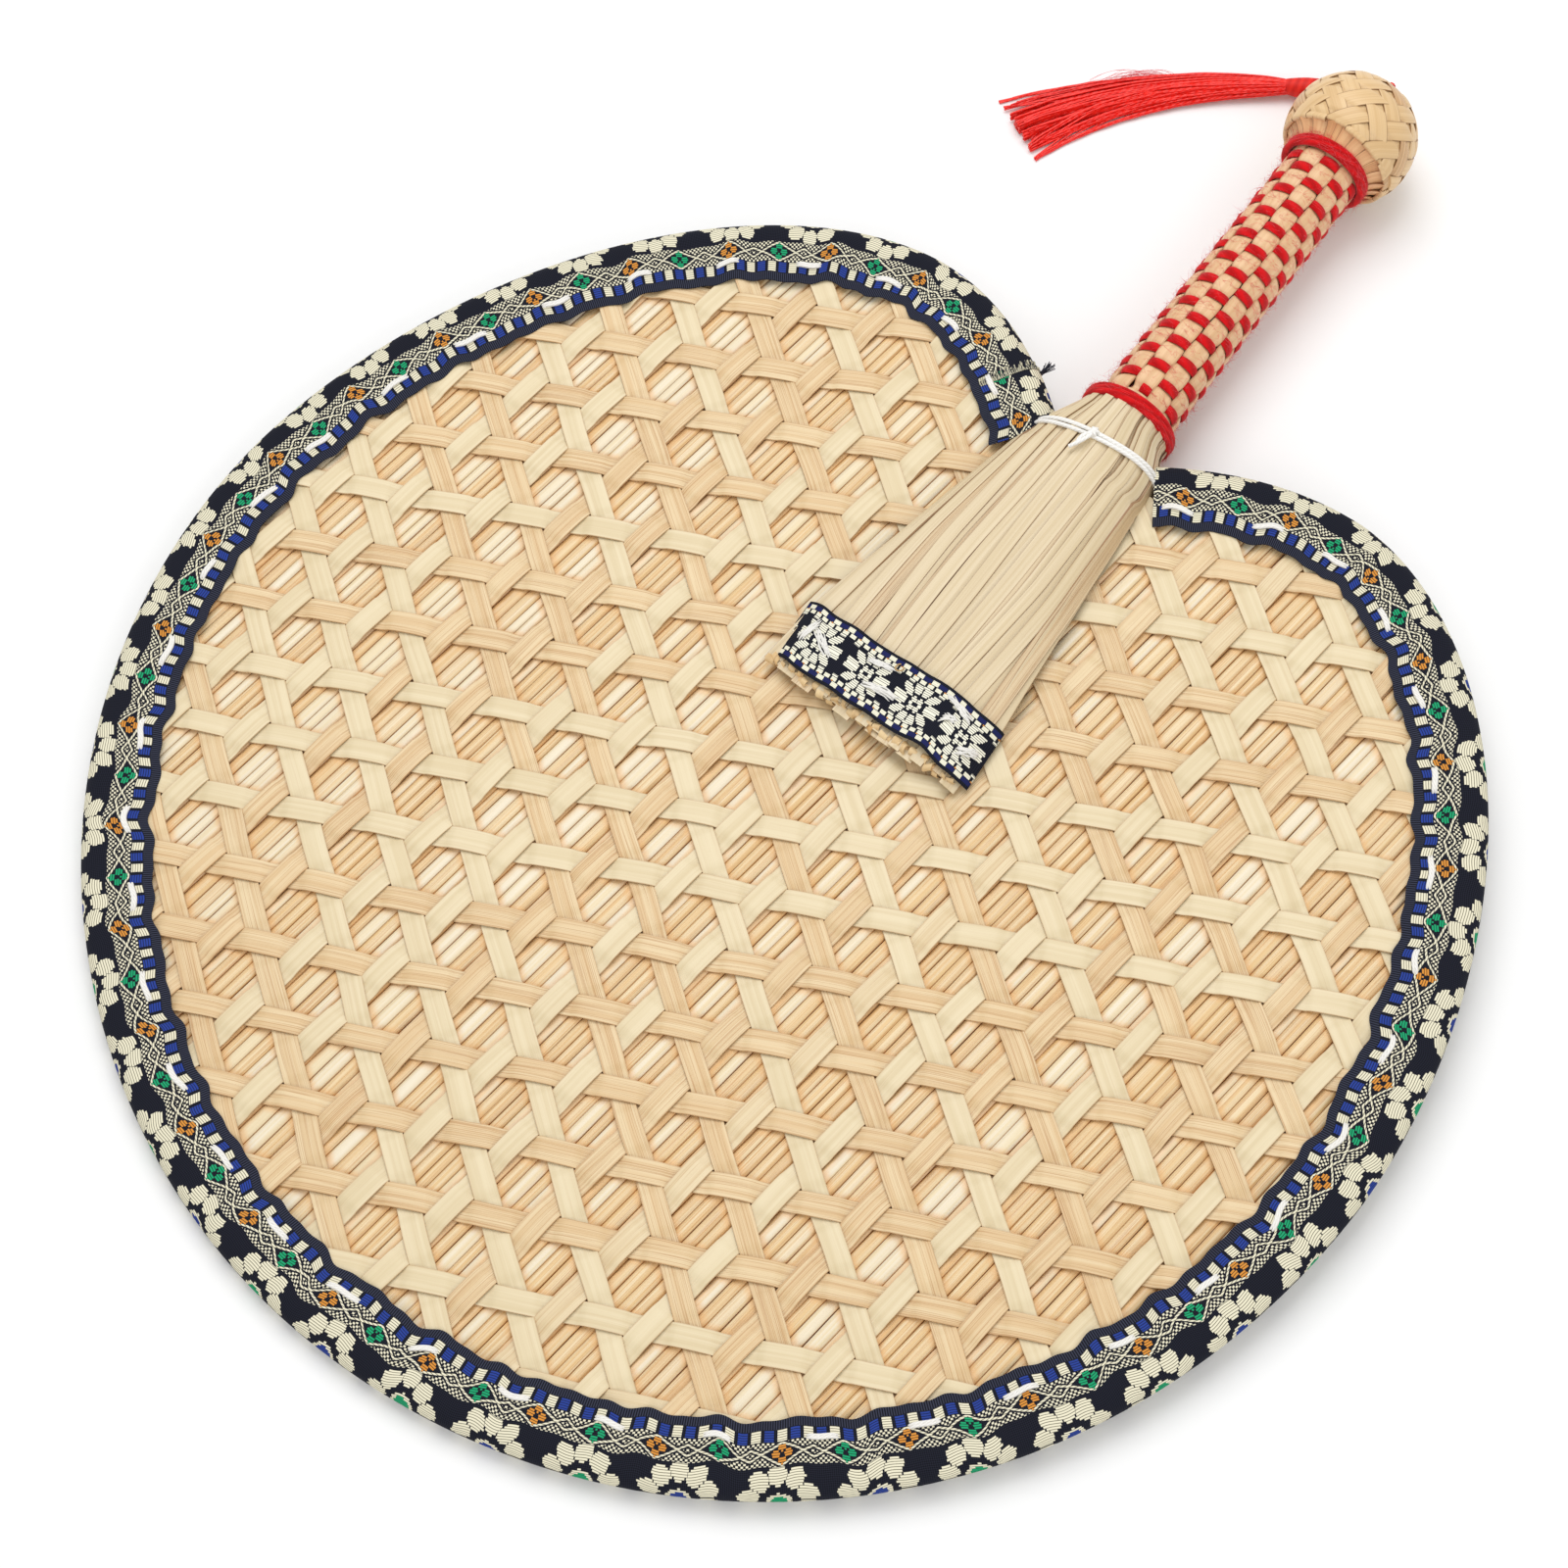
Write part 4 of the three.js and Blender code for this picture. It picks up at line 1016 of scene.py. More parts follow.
# Ribbon patches over the straws
patch = {
    "left": -23.6, "right": 29.9, "top": 190.2, "width": 15.2, "skew": 0.11, "slope": 0.01, "height": 6.35,
    "low": 2.6, "flat": 0.8, "thickness": 0.35, "ripple": (13, 0.22), "shift": (22, 0.3),
}
patchLength = patch["right"] - patch["left"]


# Point of the patch, u from its left end and v from its upper edge, raised by its own ripples. It is
# flat over most of its length and drops to its ends
def onPatch(u, v, face, raised=0.0):
    fromMiddle = np.abs(u / patchLength - 0.5) * 2
    drop = np.clip((fromMiddle - patch["flat"]) / (1 - patch["flat"]), 0, 1) ** 1.6
    wave, shiftUp = (np.interp(u, rippleRun, line) for line in patchRipples[face])
    wave = wave * np.cos(np.pi * v / patch["width"])
    z = patch["height"] - drop * (patch["height"] - patch["low"]) + wave + raised
    x = patch["left"] + u + v * patch["skew"]
    y = patch["top"] - v + shiftUp + (u - patchLength / 2) * patch["slope"]
    return np.stack(np.broadcast_arrays(x, y, face * z), -1)


rippleRun = np.linspace(0, patchLength, 120)
patchRipples = {
    face: [wander(rippleRun, *patch[key]) for key in ("ripple", "shift")] for face in sides.values()
}


# Patch as a sheet, on a grid of places along and across it
def patchPart(face):
    u, v = np.meshgrid(rippleRun, np.linspace(0, patch["width"], 14), indexing="ij")
    return sheet(onPatch(u, v, face), onPatch(u, v, face, -patch["thickness"]), rippleRun, v)


# Sizes of the patches' pattern, as for the ribbon's. A row of dashes has its colour, or None for the
# cream of the threads. A daisy is a ring of petals, with a core of five more inside it
patchPattern = {
    "pitch": 0.48, "gap": navy["gap"], "cream": "#f5f2df", "ground": 3.1, "first": 8.5, "spacing": 12.9,
    "rows": [
        ("#232858", {"low": 0.7, "high": 1.75, "spacing": 3.75, "first": 0.0, "half": 0.95}),
        ("#efecd6", {"low": 0.7, "high": 1.75, "spacing": 3.75, "first": 1.9, "half": 0.8}),
        ("#efecd6", {"low": 1.9, "high": 2.8, "spacing": 1.9, "first": 0.9, "half": 0.68}),
        (None, {"low": 2.95, "high": 3.5, "spacing": 3.75, "first": 0.9, "half": 0.7}),
        (navy["orange"], {"low": 1.75, "high": 2.05, "spacing": 3.75, "first": 0.9, "half": 0.22}),
    ],
    "ring": {"Petals": 11.0, "Radius": 4.0, "Half Length": 1.75, "Half Width": 0.9},
    "core": {"Petals": 5.0, "Radius": 1.2, "Half Length": 0.75, "Half Width": 0.62},
}


# Pattern of the patches, mirrored about the middle of their width: blue dashes along the selvedge, two
# rows of cream dashes that step past each other with an orange dot between them, and ringed daisies
def makePatchPattern():
    group, along, fromEdge = newPattern("patchPattern", patch["width"])
    sizes = patchPattern
    woven = {"Along": along, "Across": fromEdge, "Pitch": sizes["pitch"]}
    raggedAlong, middle, _, threadReliefAndShade = placeGroup(group, threads, woven)
    # the cream falls to painted shade in the gaps between thread rows
    cream = mixColors(threadReliefAndShade, color(sizes["gap"]), color(sizes["cream"]))
    layers = navyGround(along, fromEdge)
    for shade, row in sizes["rows"]:
        inDash, _ = dashRow(along, fromEdge, **row)
        layers = layOver(layers, inDash, color(shade) if shade else cream, threadReliefAndShade)
    offDaisy, _ = nearest(raggedAlong, sizes["first"], sizes["spacing"])
    place = {"X": offDaisy, "Y": middle - patch["width"] / 2}
    ring, core = (placeGroup(group, daisy, {**place, **sizes[key]})[0] for key in ("ring", "core"))
    petals = calc("MAXIMUM", ring, core) * (fromEdge > sizes["ground"])
    shade, height = layOver(layers, petals, cream, threadReliefAndShade)
    return finishGroup(group, {"Color": shade, "Height": height})


patchMaterial = clothMaterial("patchRibbon", makePatchPattern())
for side, face in sides.items():
    node = side + "_patch"
    makePiece(side + "Patch", [patchPart(face)], patchMaterial, slot="navy_ribbon", replaces=[node])

# Ends of the stitches on the patch, in its own millimetres
patchStitches = [
    ((4.2, 9.5), (5.9, 3.8)), ((6.3, 5.1), (12.2, 9.2)), ((19.9, 4.4), (26.3, 3.7)),
    ((21.7, 10.0), (30.4, 8.7)), ((39.3, 1.9), (47.1, 3.1)), ((40.6, 6.7), (43.9, 5.3)),
    ((47.9, 10.1), (52.2, 7.7)),
]
patchThread = {"count": 12, "scatter": 0.5, "wave": (9, 0.15), "raise": (0.2, 0.6), "radii": (0.136, 0.221)}


# Fine thread of a patch's stitch in one direction: its ends scatter about the stitch's own
def threadLine(a, b):
    a, b = (place + random.normal(0, patchThread["scatter"]) for place in (a, b))
    return np.linspace(a, b, 12) + wander(np.arange(12.0), *patchThread["wave"])


# A bundle of fine threads for each stitch, on both patches
def patchStitchParts():
    for face in sides.values():
        for start, end in patchStitches:
            for _ in range(patchThread["count"]):
                u, v = (threadLine(a, b) for a, b in zip(start, end))
                place = onPatch(u, v, face, random.uniform(*patchThread["raise"]))
                yield stitchPart(place, (0, 0, face), random.uniform(*patchThread["radii"]))


makePiece("patchStitches", patchStitchParts(), whiteMaterial, slot="white_string")

tanLoop = {"u": 26.9, "v": 2.5, "halfWidth": 0.95, "halfHeight": 1.0, "radius": 0.17, "from": -0.5, "to": 4.4}


# Loop of tan thread left at the front patch's upper edge
def loopPart():
    turn = np.linspace(tanLoop["from"], tanLoop["to"], 24)
    u = tanLoop["u"] + tanLoop["halfWidth"] * np.cos(turn)
    v = tanLoop["v"] + tanLoop["halfHeight"] * np.sin(turn)
    return strand(onPatch(u, v, 1, 0.45 + 0.35 * np.sin(turn * 1.3)), tanLoop["radius"], 6, tone=0.6)


tanMaterial = yarnMaterial("tanThread", "#9c7a4c", "#cfae78", 0.6)
makePiece("tanLoop", [loopPart()], tanMaterial)

curls = {
    "left": -21.5, "right": 28.5, "spacing": 1.05, "height": 4.1, "thickness": 0.13, "starts": (-0.6, 1.2),
    "turns": (2.2, 4.6), "radii": (0.45, 1.05), "scatter": 0.4, "below": (-0.2, 1.5), "lift": (-0.8, 0.5),
    "tilt": 0.3, "halves": (0.5, 1.1),  # half widths
}


# Curled straw ends below the patches: arcs of a ribbon of straw, r * (cos, sin), at random turns
def curlParts():
    section = np.array([(-1, -1), (1, -1), (1, 1), (-1, 1)], float)
    for face in sides.values():
        for x in np.arange(curls["left"], curls["right"], curls["spacing"]):
            start, turn = random.uniform(*curls["starts"]), random.uniform(*curls["turns"])
            radius = random.uniform(*curls["radii"])
            angle = start + np.linspace(0, turn, 10)
            x = x + random.normal(0, curls["scatter"]) + 0.3 * radius * np.cos(angle)
            y = patch["top"] - patch["width"] - random.uniform(*curls["below"]) - radius * np.sin(angle)
            z = face * (curls["height"] + random.uniform(*curls["lift"]) - radius * np.cos(angle))
            centre = np.stack([x, y, z], -1)
            side = unit(np.array([1, *random.normal(0, curls["tilt"], 2)]))
            side = np.broadcast_to(side, centre.shape)
            up = unit(np.cross(np.gradient(centre, axis=0), side)) * curls["thickness"]
            yield sweep(centre, side * random.uniform(*curls["halves"]), up, section, tone=random.uniform())


# Curled ends: painted shade at their edges
curlMaterial = strawMaterial(
    "curledStraw", skin=("#e4c898", "#d9b886"), pith=("#dfbb84", "#cfa56e"), line="#84522a", edgeShade=0.8,
)
makePiece("curledEnds", curlParts(), curlMaterial, slot="plain_straw")

# String round the neck: two turns side by side, with a knot in front and its tail
tie = {
    "height": 257.7, "slope": 0.125, "turns": (-0.55, 0.55), "radius": 0.5, "raise": 0.75, "ripple": 0.2,
    "knotRadius": 0.42, "tailRadius": 0.45,
    "knotAngle": 1.62, "knotRaise": 1.1, "knotLoops": (0.5, 1.5, 2.4), "knotHalf": 0.95, "knotDepth": 0.75,
    "tails": (((-2.2, -6.2, 0.1), 0.7), ((-1.3, -5.0, 0.15), -0.5)),  # how far each tail goes, and its bow
}


# Place on both splays at an angle round the neck, from 0 at the right over the front at 90 degrees
def aroundNeck(angle, y, raised):
    half, top, _, _ = splaySize(y)
    normal = unit(np.stack([np.cos(angle) / half, np.zeros_like(angle), np.sin(angle) / top], -1))
    place = np.stack([handle["offset"] + half * np.cos(angle), y, top * np.sin(angle)], -1)
    return place + normal * raised, normal


# Two turns that slope by a cosine round the neck, three small loops as a knot, and two tails that bow by
# a sine
def tieParts():
    angle = np.linspace(0, 2 * np.pi, 140)
    for offset in tie["turns"]:
        rise = tie["slope"] * neck["tieHalf"] * np.cos(angle)
        y = tie["height"] + offset + rise + tie["ripple"] * np.sin(3 * angle + offset)
        place, _ = aroundNeck(angle, y, tie["raise"])
        yield strand(place, tie["radius"], 8, up=(0, 1, 0), tone=0.5)
    knot, normal = (line[0] for line in aroundNeck(
        np.array([tie["knotAngle"]]), np.array([tie["height"]]), tie["knotRaise"],
    ))
    for turn in tie["knotLoops"]:
        across = np.array([math.cos(turn), math.sin(turn), 0])
        a, b = tie["knotHalf"] * across, tie["knotDepth"] * normal
        yield loopStrand(knot, a, b, tie["knotRadius"], steps=30, tone=0.5)
    share = np.linspace(0, 1, 16)[:, None]
    for end, bow in tie["tails"]:
        centre = knot + share * np.array(end) + np.sin(np.pi * share) * np.array([bow, 0, 0.8])
        yield strand(centre, tie["tailRadius"], 8, tone=0.5)


makePiece("neckString", tieParts(), whiteMaterial, slot="white_string", replaces=["neck_tie"])

# Grip: straw strips along it, and a red yarn that winds round it over one strip and under the next
grip = {
    "strips": 11, "twist": math.radians(20), "pitch": 3.7, "start": 6.2, "rows": 20.4, "low": 9.35,
    "high": 8.85, "yarn": 1.08, "yarnDepth": 0.45, "sink": 0.62, "dip": 0.85, "bulge": 0.22, "reach": 1.3,
    "thickness": 0.35, "drift": (40, 0.012), "narrowing": 0.13, "widths": (0.97, 1.02), "crown": 0.12,
    "yarnStart": 0.04, "yarnDrift": (3, 0.06), "yarnSwell": 0.12, "yarnFlatness": 1.6,
}
ringYarn = {
    "turns": 3, "pitch": 0.85, "radius": 0.85, "phase": math.pi, "fuzzPitch": 0.95, "fuzzRaise": 0.6,
    "drift": (2, 0.03), "swell": (1.5, 0.02), "bulge": (3, 0.04),
}
rings = {"lower": {"start": 0.6, "radius": 10.9}, "upper": {"start": 81.9, "radius": 10.0}}


# Radius of the straw round the grip, straight between its two ends
def gripRadius(y):
    return grip["low"] + (grip["high"] - grip["low"]) * y / handle["length"]


# Points round the handle's axis at an angle and radius
def roundHandle(angle, y, radius):
    angle, y, radius = np.broadcast_arrays(angle, y, radius)
    return onHandle(np.stack([radius * np.sin(angle), y, radius * np.cos(angle)], -1))


# Each strip dips by exp(-(d / reach) ^ 2) where the yarn crosses over it, d from the crossing, at every
# second turn of the yarn
def gripStripParts():
    y = np.linspace(0.4, handle["length"], 250)
    end = grip["start"] + grip["rows"] * grip["pitch"]
    wound = (y > grip["start"] - 1) & (y < end + 1)
    share = np.linspace(-1, 1, 6)
    for i in range(grip["strips"]):
        middle = 2 * np.pi * i / grip["strips"] + grip["twist"] * y / handle["length"]
        middle = middle + wander(y, *grip["drift"])
        turns = (y - grip["start"]) / grip["pitch"] - middle / (2 * np.pi)
        crossing = ((turns + i) / 2 - np.round((turns + i) / 2)) * 2 * grip["pitch"]
        dip = np.where(wound, np.exp(-(crossing / grip["reach"]) ** 2), 0)
        bulge = np.where(wound, np.cos(np.pi * crossing / (2 * grip["pitch"])) ** 2, 0.5)
        radius = gripRadius(y) - grip["dip"] * dip - grip["bulge"] * bulge
        half = np.pi / grip["strips"] * (1.0 - grip["narrowing"] * dip) * random.uniform(*grip["widths"])
        angle = middle[:, None] + half[:, None] * share
        raised = radius[:, None] + grip["crown"] * (1 - share ** 2)
        outer, inner = (roundHandle(angle, y[:, None], raised - depth) for depth in (0, grip["thickness"]))
        yield sheet(outer, inner, y, share * 2.2, tone=random.uniform())


# The yarn lies high over every second strip, by a flattened cosine of its turns
def gripYarnParts():
    turns = np.linspace(0, grip["rows"], int(grip["rows"] * grip["strips"] * 8))
    y = grip["start"] + turns * grip["pitch"] + wander(turns, *grip["yarnDrift"])
    angle = 2 * np.pi * turns + grip["yarnStart"]
    wave = np.cos((angle - grip["twist"] * y / handle["length"]) / 2 * grip["strips"])
    flat = grip["yarnFlatness"]
    radius = gripRadius(y) - grip["sink"] + grip["sink"] * wave * (1 + flat) / (1 + flat * np.abs(wave))
    centre = roundHandle(angle, y, radius)
    outwards = unit(centre - roundHandle(angle, y, 0))
    side = unit(np.cross(np.gradient(centre, axis=0), outwards))
    swell = 1 + grip["yarnSwell"] * wave[:, None]
    yield sweep(centre, side * grip["yarn"] * swell, outwards * grip["yarnDepth"], roundSection(10), tone=0.5)


# Grip straw: painted shade at its edges, in the line colour
gripMaterial = strawMaterial(
    "gripStraw", skin=("#e5bf94", "#dbb184"), pith=("#e2b88e", "#d6a87b"), line="#9a6236",
)
makePiece(
    "gripStrips", gripStripParts(), gripMaterial, slot="plain_straw", replaces=["grip_straw", "handle_core"],
)
makePiece("gripYarn", gripYarnParts(), redYarnMaterial, slot="red_yarn", replaces=["grip_yarn"])


# Ring of soft yarn in a few turns round the grip
def ringParts(start, radius):
    angle = np.linspace(0, 2 * np.pi * ringYarn["turns"], 260)
    y = start + angle / (2 * np.pi) * ringYarn["pitch"] + wander(angle, *ringYarn["drift"])
    swell = ringYarn["radius"] + wander(angle, *ringYarn["swell"])
    place = roundHandle(angle + ringYarn["phase"], y, radius + wander(angle, *ringYarn["bulge"]))
    yield strand(place, swell, 12, up=(0.1, 1, 0.1), tone=0.5)


for end, ring in rings.items():
    makePiece(end + "Ring", ringParts(**ring), redYarnMaterial, slot="red_yarn", replaces=[end + "_ring"])


hair = {
    "scatter": 0.4, "lengths": (0.3, 1), "lean": (0.05, 0.9), "spin": 1.2, "slant": 0.5, "radius": 0.024,
    "bendOut": 0.1, "bendRound": 0.05, "bendAlong": 0.3,
}


# Fuzz on the yarn: bent hairs that start near its turns, and leave the grip or lie along it. A hair's
# distance, angle and height each go by a * share + b * share ^ 2
def fuzzParts(count, start, pitch, turns, radiusAt, longest):
    share = np.linspace(0, 1, 4)
    for _ in range(count):
        turn = random.uniform(0, turns)
        y = start + turn * pitch + random.normal(0, hair["scatter"])
        length = random.uniform(*hair["lengths"]) * longest
        lean, spin = random.uniform(*hair["lean"]) ** 1.5, random.normal(0, hair["spin"])
        bend = hair["bendOut"] * abs(random.normal())
        radius = radiusAt(y) + length * (share * lean + bend * share ** 2)
        bend = hair["bendRound"] * random.normal()
        around = 2 * np.pi * turn + length * (share * spin * 0.09 + bend * share ** 2)
        slant, bend = random.normal(0, hair["slant"]), hair["bendAlong"] * random.normal()
        height = y + length * (share * slant + bend * share ** 2)
        place = roundHandle(around, height, radius)
        yield strand(place, hair["radius"] * (1.3 - share), 4, up=(0.2, 0.3, 1), tone=random.uniform())


# The same on a ring, close to the outside of its yarn
def ringFuzz(end, count, longest):
    radius = rings[end]["radius"] + ringYarn["fuzzRaise"]
    start, pitch, turns = rings[end]["start"], ringYarn["fuzzPitch"], ringYarn["turns"]
    return fuzzParts(count, start, pitch, turns, lambda y: radius, longest)


fuzzMaterial = yarnMaterial("redFuzz", "#d8323c", "#f27478", 0.9, pitch=3, plies=1, shine=0.1)
fuzz = [
    *fuzzParts(4600, grip["start"], grip["pitch"], grip["rows"], lambda y: gripRadius(y) - 0.05, longest=2.7),
    *ringFuzz("lower", count=600, longest=1.8), *ringFuzz("upper", count=900, longest=2.2),
]
makePiece("yarnFuzz", fuzz, fuzzMaterial, slot="red_yarn")

# Braided ball
braid = {
    "strips": 16, "thickness": 0.28, "wave": 0.23, "flatness": 5.0, "steps": 86, "crown": 86, "rim": -25,
    "inside": 0.6, "curl": 0.45, "bow": 0.06, "rimWave": 0.8, "scatter": 0.04, "drift": (12, 0.03),
    "widths": (0.96, 1.04), "ragged": 0.3,
}


# Line from the ball's crown over its side to the rim and a little way in: distance from the axis,
# height, and the angle that a strip has turned about the axis there
def ballLine():
    latitude = np.radians(np.linspace(braid["crown"], braid["rim"], braid["steps"]))
    middle = ball["radius"] - braid["inside"]
    rim = latitude[-1]
    curl = np.linspace(0.5, 2.6, 5)
    curlIn = braid["curl"] * (1 - np.cos(curl))
    radius = np.concatenate([middle * np.cos(latitude), middle * math.cos(rim) - curlIn])
    curlDown = braid["curl"] * np.sin(curl)
    height = np.concatenate([middle * np.sin(latitude), middle * math.sin(rim) - curlDown])
    return radius, height, np.concatenate([latitude, np.full(len(curl), rim)])


# Strips of both directions: their height off the ball is a flattened sine of the crossings, with two
# over and two under, and the same crossing lifts one direction and sinks the other
def braidParts():
    radius, height, turn = ballLine()
    line = np.stack([radius, height], -1)
    slope = unit(np.gradient(line, axis=0))
    outwards = np.stack([-slope[:, 1], slope[:, 0]], -1)
    step = 2 * np.pi / braid["strips"]
    run = runAlong(line)
    share = np.linspace(-1, 1, 6)
    bow = braid["bow"] * (1 - share ** 2)
    rimmed = np.clip((np.arange(len(radius)) - braid["steps"] + 4) / 4, 0, 1)
    for sign in (1, -1):
        for i in range(braid["strips"]):
            middle = i * step + sign * turn
            number = 2 * i + 2 * sign * turn / step
            wave = sign * np.sin(2 * np.pi * (number + 0.5) / 4)
            wave = wave * (1 + braid["flatness"]) / (1 + braid["flatness"] * np.abs(wave))
            off = braid["wave"] * (wave * (1 - rimmed) + sign * braid["rimWave"] * rimmed)
            off = off + random.normal(0, braid["scatter"]) + wander(run, *braid["drift"])
            half = step / 2 * random.uniform(*braid["widths"]) * np.interp(radius, [2, 12], [0.8, 1])
            drop = random.normal(0, braid["ragged"]) * rimmed[:, None]
            angle = middle[:, None] + half[:, None] * share
            faces = []
            for depth in (0, braid["thickness"]):
                raised = off[:, None] + bow - depth
                level = ball["along"] + height[:, None] + outwards[:, 1:] * raised - drop
                faces.append(roundHandle(angle, level, radius[:, None] + outwards[:, :1] * raised))
            yield sheet(*faces, run, share * 2, tone=random.uniform())


pleats = {
    "count": 22, "radius": 13.7, "inwards": 4.0, "below": 6.3, "drop": 3.5, "thickness": 0.2, "bow": 0.5,
    "shift": 0.2, "slant": 0.03, "widths": (1.2, 1.5), "tilt": (0.5, 0.4),
}


# Pleats from inside the ball's rim to the ring: flat straws down a cone, each tilted over its neighbour
def pleatParts():
    share = np.linspace(0, 1, 8)
    across = np.linspace(-1, 1, 4)
    spacing = 2 * np.pi / pleats["count"]
    radius = pleats["radius"] - pleats["inwards"] * share
    height = ball["along"] - pleats["below"] - pleats["drop"] * share + pleats["bow"] * np.sin(np.pi * share)
    for i in range(pleats["count"]):
        start = spacing * (i + random.uniform(-pleats["shift"], pleats["shift"]))
        middle = start + random.normal(0, pleats["slant"]) * share
        angle = middle[:, None] + spacing / 2 * random.uniform(*pleats["widths"]) * across
        tilt = random.normal(*pleats["tilt"])
        level = height[:, None] + tilt * across * (1 - share[:, None] * 0.7)
        faces = (
            roundHandle(angle, level + depth, radius[:, None] - depth) for depth in (0, pleats["thickness"])
        )
        yield sheet(*faces, share * 5, across * 2, tone=random.uniform())


# Ball: the thin dark outlines of its strips are painted shade at their edges
ballMaterial = strawMaterial(
    "ballStraw", skin=("#e1c090", "#d6b280"), pith=("#dbb688", "#cea576"), line="#7a4c22", roughness=0.38,
    edgeShade=0.8,
)
# Pleats: the dark lines between them are painted shade of the folds, at their edges
pleatMaterial = strawMaterial(
    "pleatStraw", skin=("#ecbf8c", "#dfaa78"), pith=("#e5b47d", "#d69d6b"), line="#6a3418", skinShare=0.5,
    edgeShade=0.7,
)
makePiece("ballBraid", braidParts(), ballMaterial, slot="ball_straw", replaces=["pommel"])
makePiece("ballPleats", pleatParts(), pleatMaterial, slot="ball_straw")

crownKnot = {"turns": (0, 60, 120), "loop": 0.6, "radius": 0.45}


# Knot on the crown, as three loops of silk cord
def crownParts():
    middle = onHandle([0, knotAlong, 0])
    for turn in np.radians(crownKnot["turns"]):
        side = unit(np.array([math.cos(turn), 0.4, math.sin(turn)]))
        a, b = crownKnot["loop"] * side, crownKnot["loop"] * np.array([0.2, 1, 0])
        yield loopStrand(middle, a, b, crownKnot["radius"], steps=28)


makePiece("crownKnot", crownParts(), silkMaterial, slot="red_silk", replaces=["crown_knot"])

# Tassel on the table, in row millimetres from the crown's knot
tassel = {
    "reach": 16.4, "level": 2.9, "heading": math.radians(34), "gap": 0.85, "head": 8.5, "radius": 2.6,
    "length": 67.5, "bend": math.radians(23), "lead": 0.2, "inside": 1.6, "waist": 1.45, "swell": 1.9,
    "flare": 7.2, "depth": 3.4, "strands": 270, "strand": 0.23, "locks": 4, "stray": 0.06, "under": 0.6,
    "drawn": 0.62, "sideways": (30, 0.2), "lift": (22, 0.12), "crimp": 0.07, "crimpLength": 1.9,
    "strayTo": (1.3, 1.45, 1.6, -1.25), "lockScatter": 0.1, "short": 1.6, "widths": (0.75, 1.1),
}
cord = {"start": 1.8, "ply": 0.36, "apart": 0.32, "pitch": 2.4}
wisp = {
    "count": 24, "radius": 0.035, "from": (24, 31), "steps": (6, 15),  # of 60 steps down the skirt
    "bow": (0.3, 2.2), "off": (0.9, 1.0), "height": (0.3, 2.5),
}
headPlace = np.array([knotPlace[0] - tassel["reach"], knotPlace[1], tassel["level"]])
tasselPiece = {"slot": "red_silk", "place": onTable}


# Cord of two plies along the CAD cord's cubic curve
def cordParts():
    share = np.linspace(0, 1, 60)[:, None]
    reach, drop = tassel["reach"], knotPlace[2] - tassel["level"]
    corners = [(-cord["start"], 0), (-reach / 2, 0), (-reach / 2, -drop), (-reach, -drop)]
    weights = [(1 - share) ** 3, 3 * share * (1 - share) ** 2, 3 * share ** 2 * (1 - share), share ** 3]
    path = knotPlace + sum(weight * np.array([x, 0, z]) for weight, (x, z) in zip(weights, corners))
    side, up = framesAlong(path, (0, 1, 0))
    turn = runAlong(path)[:, None] * 2 * np.pi / cord["pitch"]
    for ply in (0, np.pi):
        aside = cord["apart"] * (side * np.cos(turn + ply) + up * np.sin(turn + ply))
        yield strand(path + aside, cord["ply"], 8, up=(0, 1, 0), tone=0.5)


makePiece("silkCord", cordParts(), silkMaterial, "cord", replaces=["tassel_cord"], **tasselPiece)


# Directions along and across the tassel where it has turned by an angle past its head
def tasselAxes(turn):
    cos, sin = np.cos(tassel["heading"] + turn), np.sin(tassel["heading"] + turn)
    return np.stack([-cos, -sin, 0 * cos], -1), np.stack([sin, -cos, 0 * cos], -1)


# Bound head: a round body with a rounded start, wound with fine thread by its material
def headPart():
    forward, side = tasselAxes(np.array([-tassel["lead"] * tassel["bend"]]))
    along = np.linspace(0, tassel["head"] + tassel["under"], 40)
    share = along / along[-1]
    start = np.sqrt(1 - (1 - np.clip(share / 0.1, 0.03, 1)) ** 2)
    end = 1 - 0.3 * np.clip(share * 1.6 - 0.6, 0, 1) ** 1.5
    radius = (tassel["radius"] * start * end)[:, None]
    centre = headPlace + forward * (tassel["gap"] + along[:, None])
    return sweep(centre, side * radius, np.array([0, 0, 1]) * radius, roundSection(24), tone=0.7)


# Middle line of the skirt, which starts inside the head and turns by bend * (1.5 share - lead), and the
# half width there: waist + swell * (1 - exp(-10 share)) + (flare - swell) * share ^ 1.5
def skirtLine(share):
    forward, side = tasselAxes(tassel["bend"] * (1.5 * share - tassel["lead"]))
    start = headPlace + forward[0] * (tassel["gap"] + tassel["head"] + tassel["under"] - tassel["inside"])
    start[2] = 0
    step = tassel["length"] / (len(share) - 1)
    middle = start + np.concatenate([np.zeros((1, 3)), np.cumsum(forward[:-1], axis=0)]) * step
    swell, flare = tassel["swell"], tassel["flare"]
    half = tassel["waist"] + swell * (1 - np.exp(-10 * share)) + (flare - swell) * share ** 1.5
    return middle, side, half


